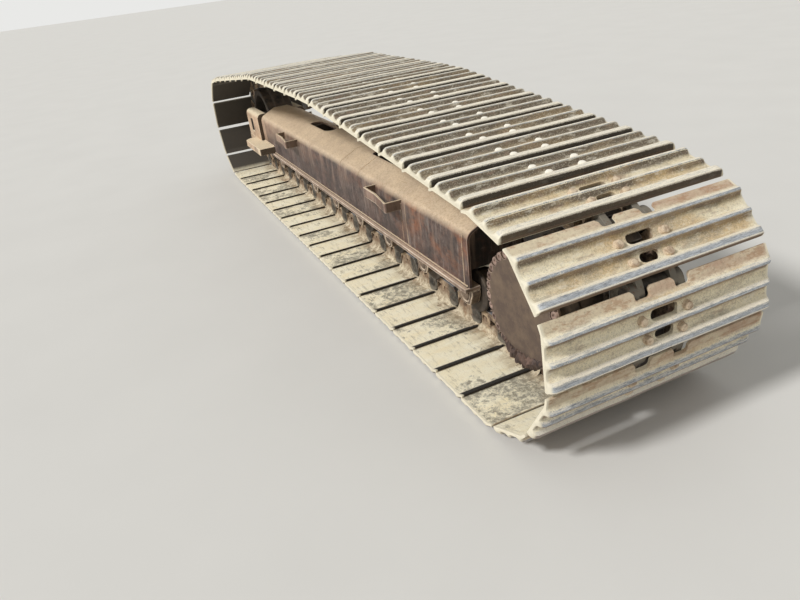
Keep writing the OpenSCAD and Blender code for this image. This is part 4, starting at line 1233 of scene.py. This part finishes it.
# Crest faces that look up are painted near white, as painted light
film = add("MapRange", facing.outputs["Z"], 0.72, 0.93, 0.0, 0.95)
broken = add("MapRange", scratches, 0.38, 0.54, 0.45)
film = add("Math", film, broken, operation="MULTIPLY")
bare = add("MixRGB", film, bare, "#fdf3dc")
pit = add("MapRange", sand, 0.54, 0.64, 0.0, 0.45)
bare = add("MixRGB", pit, bare, "#807a70")
ragged = add("Math", clouds, -0.006, own.outputs["Z"], operation="MULTIPLY_ADD")
broad = add("MapRange", own.outputs["X"], -0.044, -0.050, 0.0, 0.0040)
ragged = add("Math", ragged, broad, operation="ADD")
ahead = add("MapRange", phase, 0.002, 0.006, 0.0, 0.0100)
ragged = add("Math", ragged, ahead, operation="ADD")
beyond = add("MapRange", phase, 0.030, 0.034, 0.0, 0.0105)
ragged = add("Math", ragged, beyond, operation="SUBTRACT")
chips = add("MapRange", sand, 0.35, 0.65, -0.0025, 0.0025)
ragged = add("Math", ragged, chips, operation="ADD")
top = add("MapRange", ragged, 0.0722, 0.0740)
outer = add("MixRGB", top, outer, bare)
# Faces that look down are painted browner and darker, as painted shade
downward_shade = add("MapRange", facing.outputs["Z"], 0.05, -0.45, 0.0, 0.7)
outer = add("MixRGB", downward_shade, outer, "#8a7360")
# The inner face: cream, scuffed, painted dark in the bend where shoes lap as painted shadow, stained brown
# beside the chain, and painted dark as painted shade near the idler, where the shoes have last come round
# it
streaky = add("Mapping", place, Scale=(1.0, 5.0, 1.0))
scuffs = add("TexNoise", streaky, Scale=14.0, Detail=9.0, Roughness=0.78, **own_pattern)
scuff = add("MapRange", scuffs, 0.52, 0.64, 0.0, 0.70)
inner = add("MixRGB", cloud, "#fff8e0", "#faedca")
inner = add("MixRGB", scuff, inner, "#aba087")
pocks = add("MapRange", grit, 0.55, 0.65, 0.0, 0.35)
inner = add("MixRGB", pocks, inner, "#958b74")
areas = add("TexNoise", place, Scale=6.5, Detail=10.0, Roughness=0.74, **own_pattern)
often = add("MapRange", traits.outputs["X"], 0.35, 0.75, -0.06, 0.045)
wiped = add("Math", areas, often, operation="ADD")
wiped = add("MapRange", wiped, 0.505, 0.545, 0.0, 0.8)
flakes = add("TexNoise", place, Scale=42.0, Detail=9.0, Roughness=0.8, **own_pattern)
flake = add("MapRange", flakes, 0.46, 0.57)
scraped = add("MixRGB", flake, "#7c7669", "#efe6cc")
inner = add("MixRGB", wiped, inner, scraped)
beside = add("Math", own.outputs["Y"], operation="ABSOLUTE")
near = add("MapRange", beside, 0.19, 0.12)
stained = add("Math", near, cloud, operation="MULTIPLY")
inner = add("MixRGB", stained, inner, "#a08a6c")
# In the bend where shoes lap in a straight run, the inner face is painted near black as painted shadow
inner_lap = add("MapRange", own.outputs["X"], 0.090, 0.094)
inner_lap_shadow = add("Math", inner_lap, traits.outputs["Y"], operation="MULTIPLY")
inner = add("MixRGB", inner_lap_shadow, inner, "#1f1b17")
# Near the idler the raised inner faces are painted dark, as painted shade
front = add("MapRange", spot.outputs["X"], idler_x - 0.32, idler_x - 0.05)
raised = add("MapRange", spot.outputs["Z"], 0.034, 0.066)
idler_wrap_shade = add("Math", front, raised, operation="MULTIPLY")
inner = add("MixRGB", idler_wrap_shade, inner, "#4a443c")
# The skin's depth below the outer face tells the two faces apart, also where the leading edge bends
bend = add("MapRange", own.outputs["X"], lap_start, lap_end, 0.0, lap_drop)
skin = add("Math", own.outputs["Z"], bend, operation="ADD")
inside = add("MapRange", skin, 0.0485, 0.0475)
colour = add("MixRGB", inside, outer, inner)
# The cut ends, cream and painted brighter as painted light
cut_end_light = add("MapRange", beside, 0.390, 0.396, 0.0, 0.9)
colour = add("MixRGB", cut_end_light, colour, "#eee5cd")
metal = add("MapRange", top, 0.0, 1.0, 0.0, 0.15)
rough = add("MapRange", top, 0.0, 1.0, 0.88, 0.55)
relief = add("Bump", Strength=0.8, Distance=0.004, Height=grit)
shader = add("BsdfPrincipled", colour, Roughness=rough, Metallic=metal, Normal=relief)
add("OutputMaterial", shader)
along_chain("track_shoes", mesh_arrays(shoe), shoe_steel, "shoe_steel", worn_shoe)

# Four bolts hold each shoe. Stones have worn their hexagon heads round, and cream mud is caked on them.
bolt_places = [(0.031, side * 0.0802) for side in (-1, 1)] + [(-0.031, side * 0.0622) for side in (-1, 1)]
bolts = bmesh.new()
# Each ring of a head: its height over the plate, its radius, and how far its corners are worn down
head_points = 12
bolt_outline = [(-0.002, 0.0160, 1.0), (0.002, 0.0155, 1.0), (0.004, 0.0138, 0.94), (0.012, 0.0134, 0.94),
                (0.0155, 0.0108, 0.94), (0.0165, 0.0055, 1.0)]
for along, across in bolt_places:
    rings = []
    for rise, radius, corner in bolt_outline:
        spokes = [(radius * (corner if k % 2 else 1), math.tau * k / head_points)
                  for k in range(head_points)]
        ring = [(along + r * math.cos(a), across + r * math.sin(a), shoe_plate + rise) for r, a in spokes]
        rings.append([bolts.verts.new(place) for place in ring])
    tube(bolts, rings)

# Zinc-plated once, now matt cream with dry mud and brown-pink where the head shows.
bolt_finish, add = new_finish("mud_caked_bolt_heads")
place = add("Attribute", attribute_name="own_place").outputs["Vector"]
traits = add("SeparateXYZ", add("Attribute", attribute_name="own_traits").outputs["Vector"])
seed = add("Math", traits.outputs["X"], 60.0, operation="MULTIPLY")
own_pattern = {"W": seed, "noise_dimensions": "4D"}
lumps = add("TexNoise", place, Scale=60.0, Detail=5.0, Roughness=0.7, **own_pattern)
bald = add("MapRange", lumps, 0.46, 0.58, 0.0, 0.8)
colour = add("MixRGB", bald, "#d2bfa4", "#9a8069")
film = add("MapRange", traits.outputs["Y"], 0.0, 1.0, 0.0, 0.95)
colour = add("MixRGB", film, colour, "#fbf5e6")
relief = add("Bump", Strength=0.5, Distance=0.0015, Height=lumps)
shader = add("BsdfPrincipled", colour, Roughness=0.8, Normal=relief)
add("OutputMaterial", shader)
along_chain("shoe_bolts", mesh_arrays(bolts), bolt_finish, "shoe_steel")


# Dried mud: it packs between the chain and the shoes of the lower run, where each link sheds it, and
# cakes the foot of the drive's lid. It is cream on top, where it has dried out, and tan below.
mud_inner, mud_outer = link_outer - 0.008, 0.230
mud_step = 0.009
shoe_level = crest - SEAT
low_pins = [p.x for p in pins if p.y < 0.12]
fine_steps = (0, 0.003, 0.006, 0.008, 0.0095, 0.011, 0.0125, 0.015, 0.019, 0.024)
mud_rows_y = [mud_inner + reach for reach in fine_steps]
mud_rows_y += list(np.arange(mud_rows_y[-1] + 0.007, mud_outer, mud_step))
mud = bmesh.new()
rows = []
for x in np.arange(sprocket_x + 0.10, idler_x - 0.06, mud_step):
    to_pin = min(abs(x - p) for p in low_pins)
    between = 1 - math.exp(-(to_pin / 0.045) ** 4)
    row = []
    for y in mud_rows_y:
        far = (y - mud_inner) / (mud_outer - mud_inner)
        heap = noise.noise(Vector((x * 6.5, y * 9, 1.7))) + 0.5 * noise.noise(Vector((x * 19, y * 22, 4.2)))
        lump = 0.006 * noise.noise(Vector((x * 55, y * 60, 8.1)))
        height = 0.020 * (1 - far) ** 2.2 * (0.5 + heap) - 0.0045 - 0.004 * far + lump
        bank = 0.052 + 0.030 * noise.noise(Vector((x * 17, 2.5, 6.1)))
        bank += 0.010 * noise.noise(Vector((x * 60, y * 60, 3.3)))
        bank *= between * math.exp(-(far * (mud_outer - mud_inner) / 0.013) ** 2)
        row.append(mud.verts.new((x, y, shoe_level + height + bank)))
    rows.append(row)
for near, ahead in zip(rows, rows[1:]):
    for k in range(len(near) - 1):
        corners = (near[k], near[k + 1], ahead[k + 1], ahead[k])
        if max(v.co.z for v in corners) > shoe_level - 0.001:
            mud.faces.new(corners)
bmesh.ops.delete(mud, geom=[v for v in mud.verts if not v.link_faces], context="VERTS")
bmesh.ops.recalc_face_normals(mud, faces=mud.faces[:])

mud_finish, add = new_finish("dried_clay")
spot = add("TexCoord").outputs["Object"]
crumbs = add("TexNoise", spot, Scale=45.0, Detail=8.0, Roughness=0.75)
crumb = add("MapRange", crumbs, 0.38, 0.62)
colour = add("MixRGB", crumb, "#8f7b62", "#e3d6ba")
patches = add("TexNoise", spot, Scale=9.0, Detail=5.0, Roughness=0.65)
orange = add("MapRange", patches, 0.54, 0.66, 0.0, 0.55)
colour = add("MixRGB", orange, colour, "#ae8b6c")
# Higher up the bank the clay is darker brown
darker_higher_up = add("MapRange", add("SeparateXYZ", spot).outputs["Z"], shoe_level + 0.014, shoe_level + 0.046, 0.0,
           0.85)
colour = add("MixRGB", darker_higher_up, colour, "#755c47")
relief = add("Bump", Strength=0.9, Distance=0.006, Height=crumbs)
shader = add("BsdfPrincipled", colour, Roughness=0.95, Normal=relief)
add("OutputMaterial", shader)
show("chain_mud", mud, mud_finish, "shoe_steel")

caked = bmesh.new()
first, last = math.radians(-136), math.radians(-50)
cake_steps, cake_sides = 60, 12
rings = []
for k in range(cake_steps + 1):
    angle = first + (last - first) * k / cake_steps
    taper = math.sin(math.pi * k / cake_steps) ** 0.6
    middle = cover_radius - 0.016 + 0.006 * noise.noise(Vector((k * 0.4, 3.0, 0)))
    ring = []
    for i in range(cake_sides):
        turn = math.tau * i / cake_sides
        lump = noise.noise(Vector((k * 0.55, math.cos(turn) * 1.3, math.sin(turn) * 1.3)))
        size = taper * (0.020 + 0.014 * lump)
        radius = middle + size * 1.25 * math.cos(turn)
        x, z = by_drive(radius, angle)
        ring.append(caked.verts.new((x, cover_face - 0.004 + 0.7 * size * math.sin(turn), z)))
    rings.append(ring)
bmesh.ops.recalc_face_normals(caked, faces=tube(caked, rings))
grease_finish = greasy_steel("greasy_black_mud", "#2b201d", "#7d6457", 0.85)
show("lid_mud", caked, grease_finish, "cover_paint")
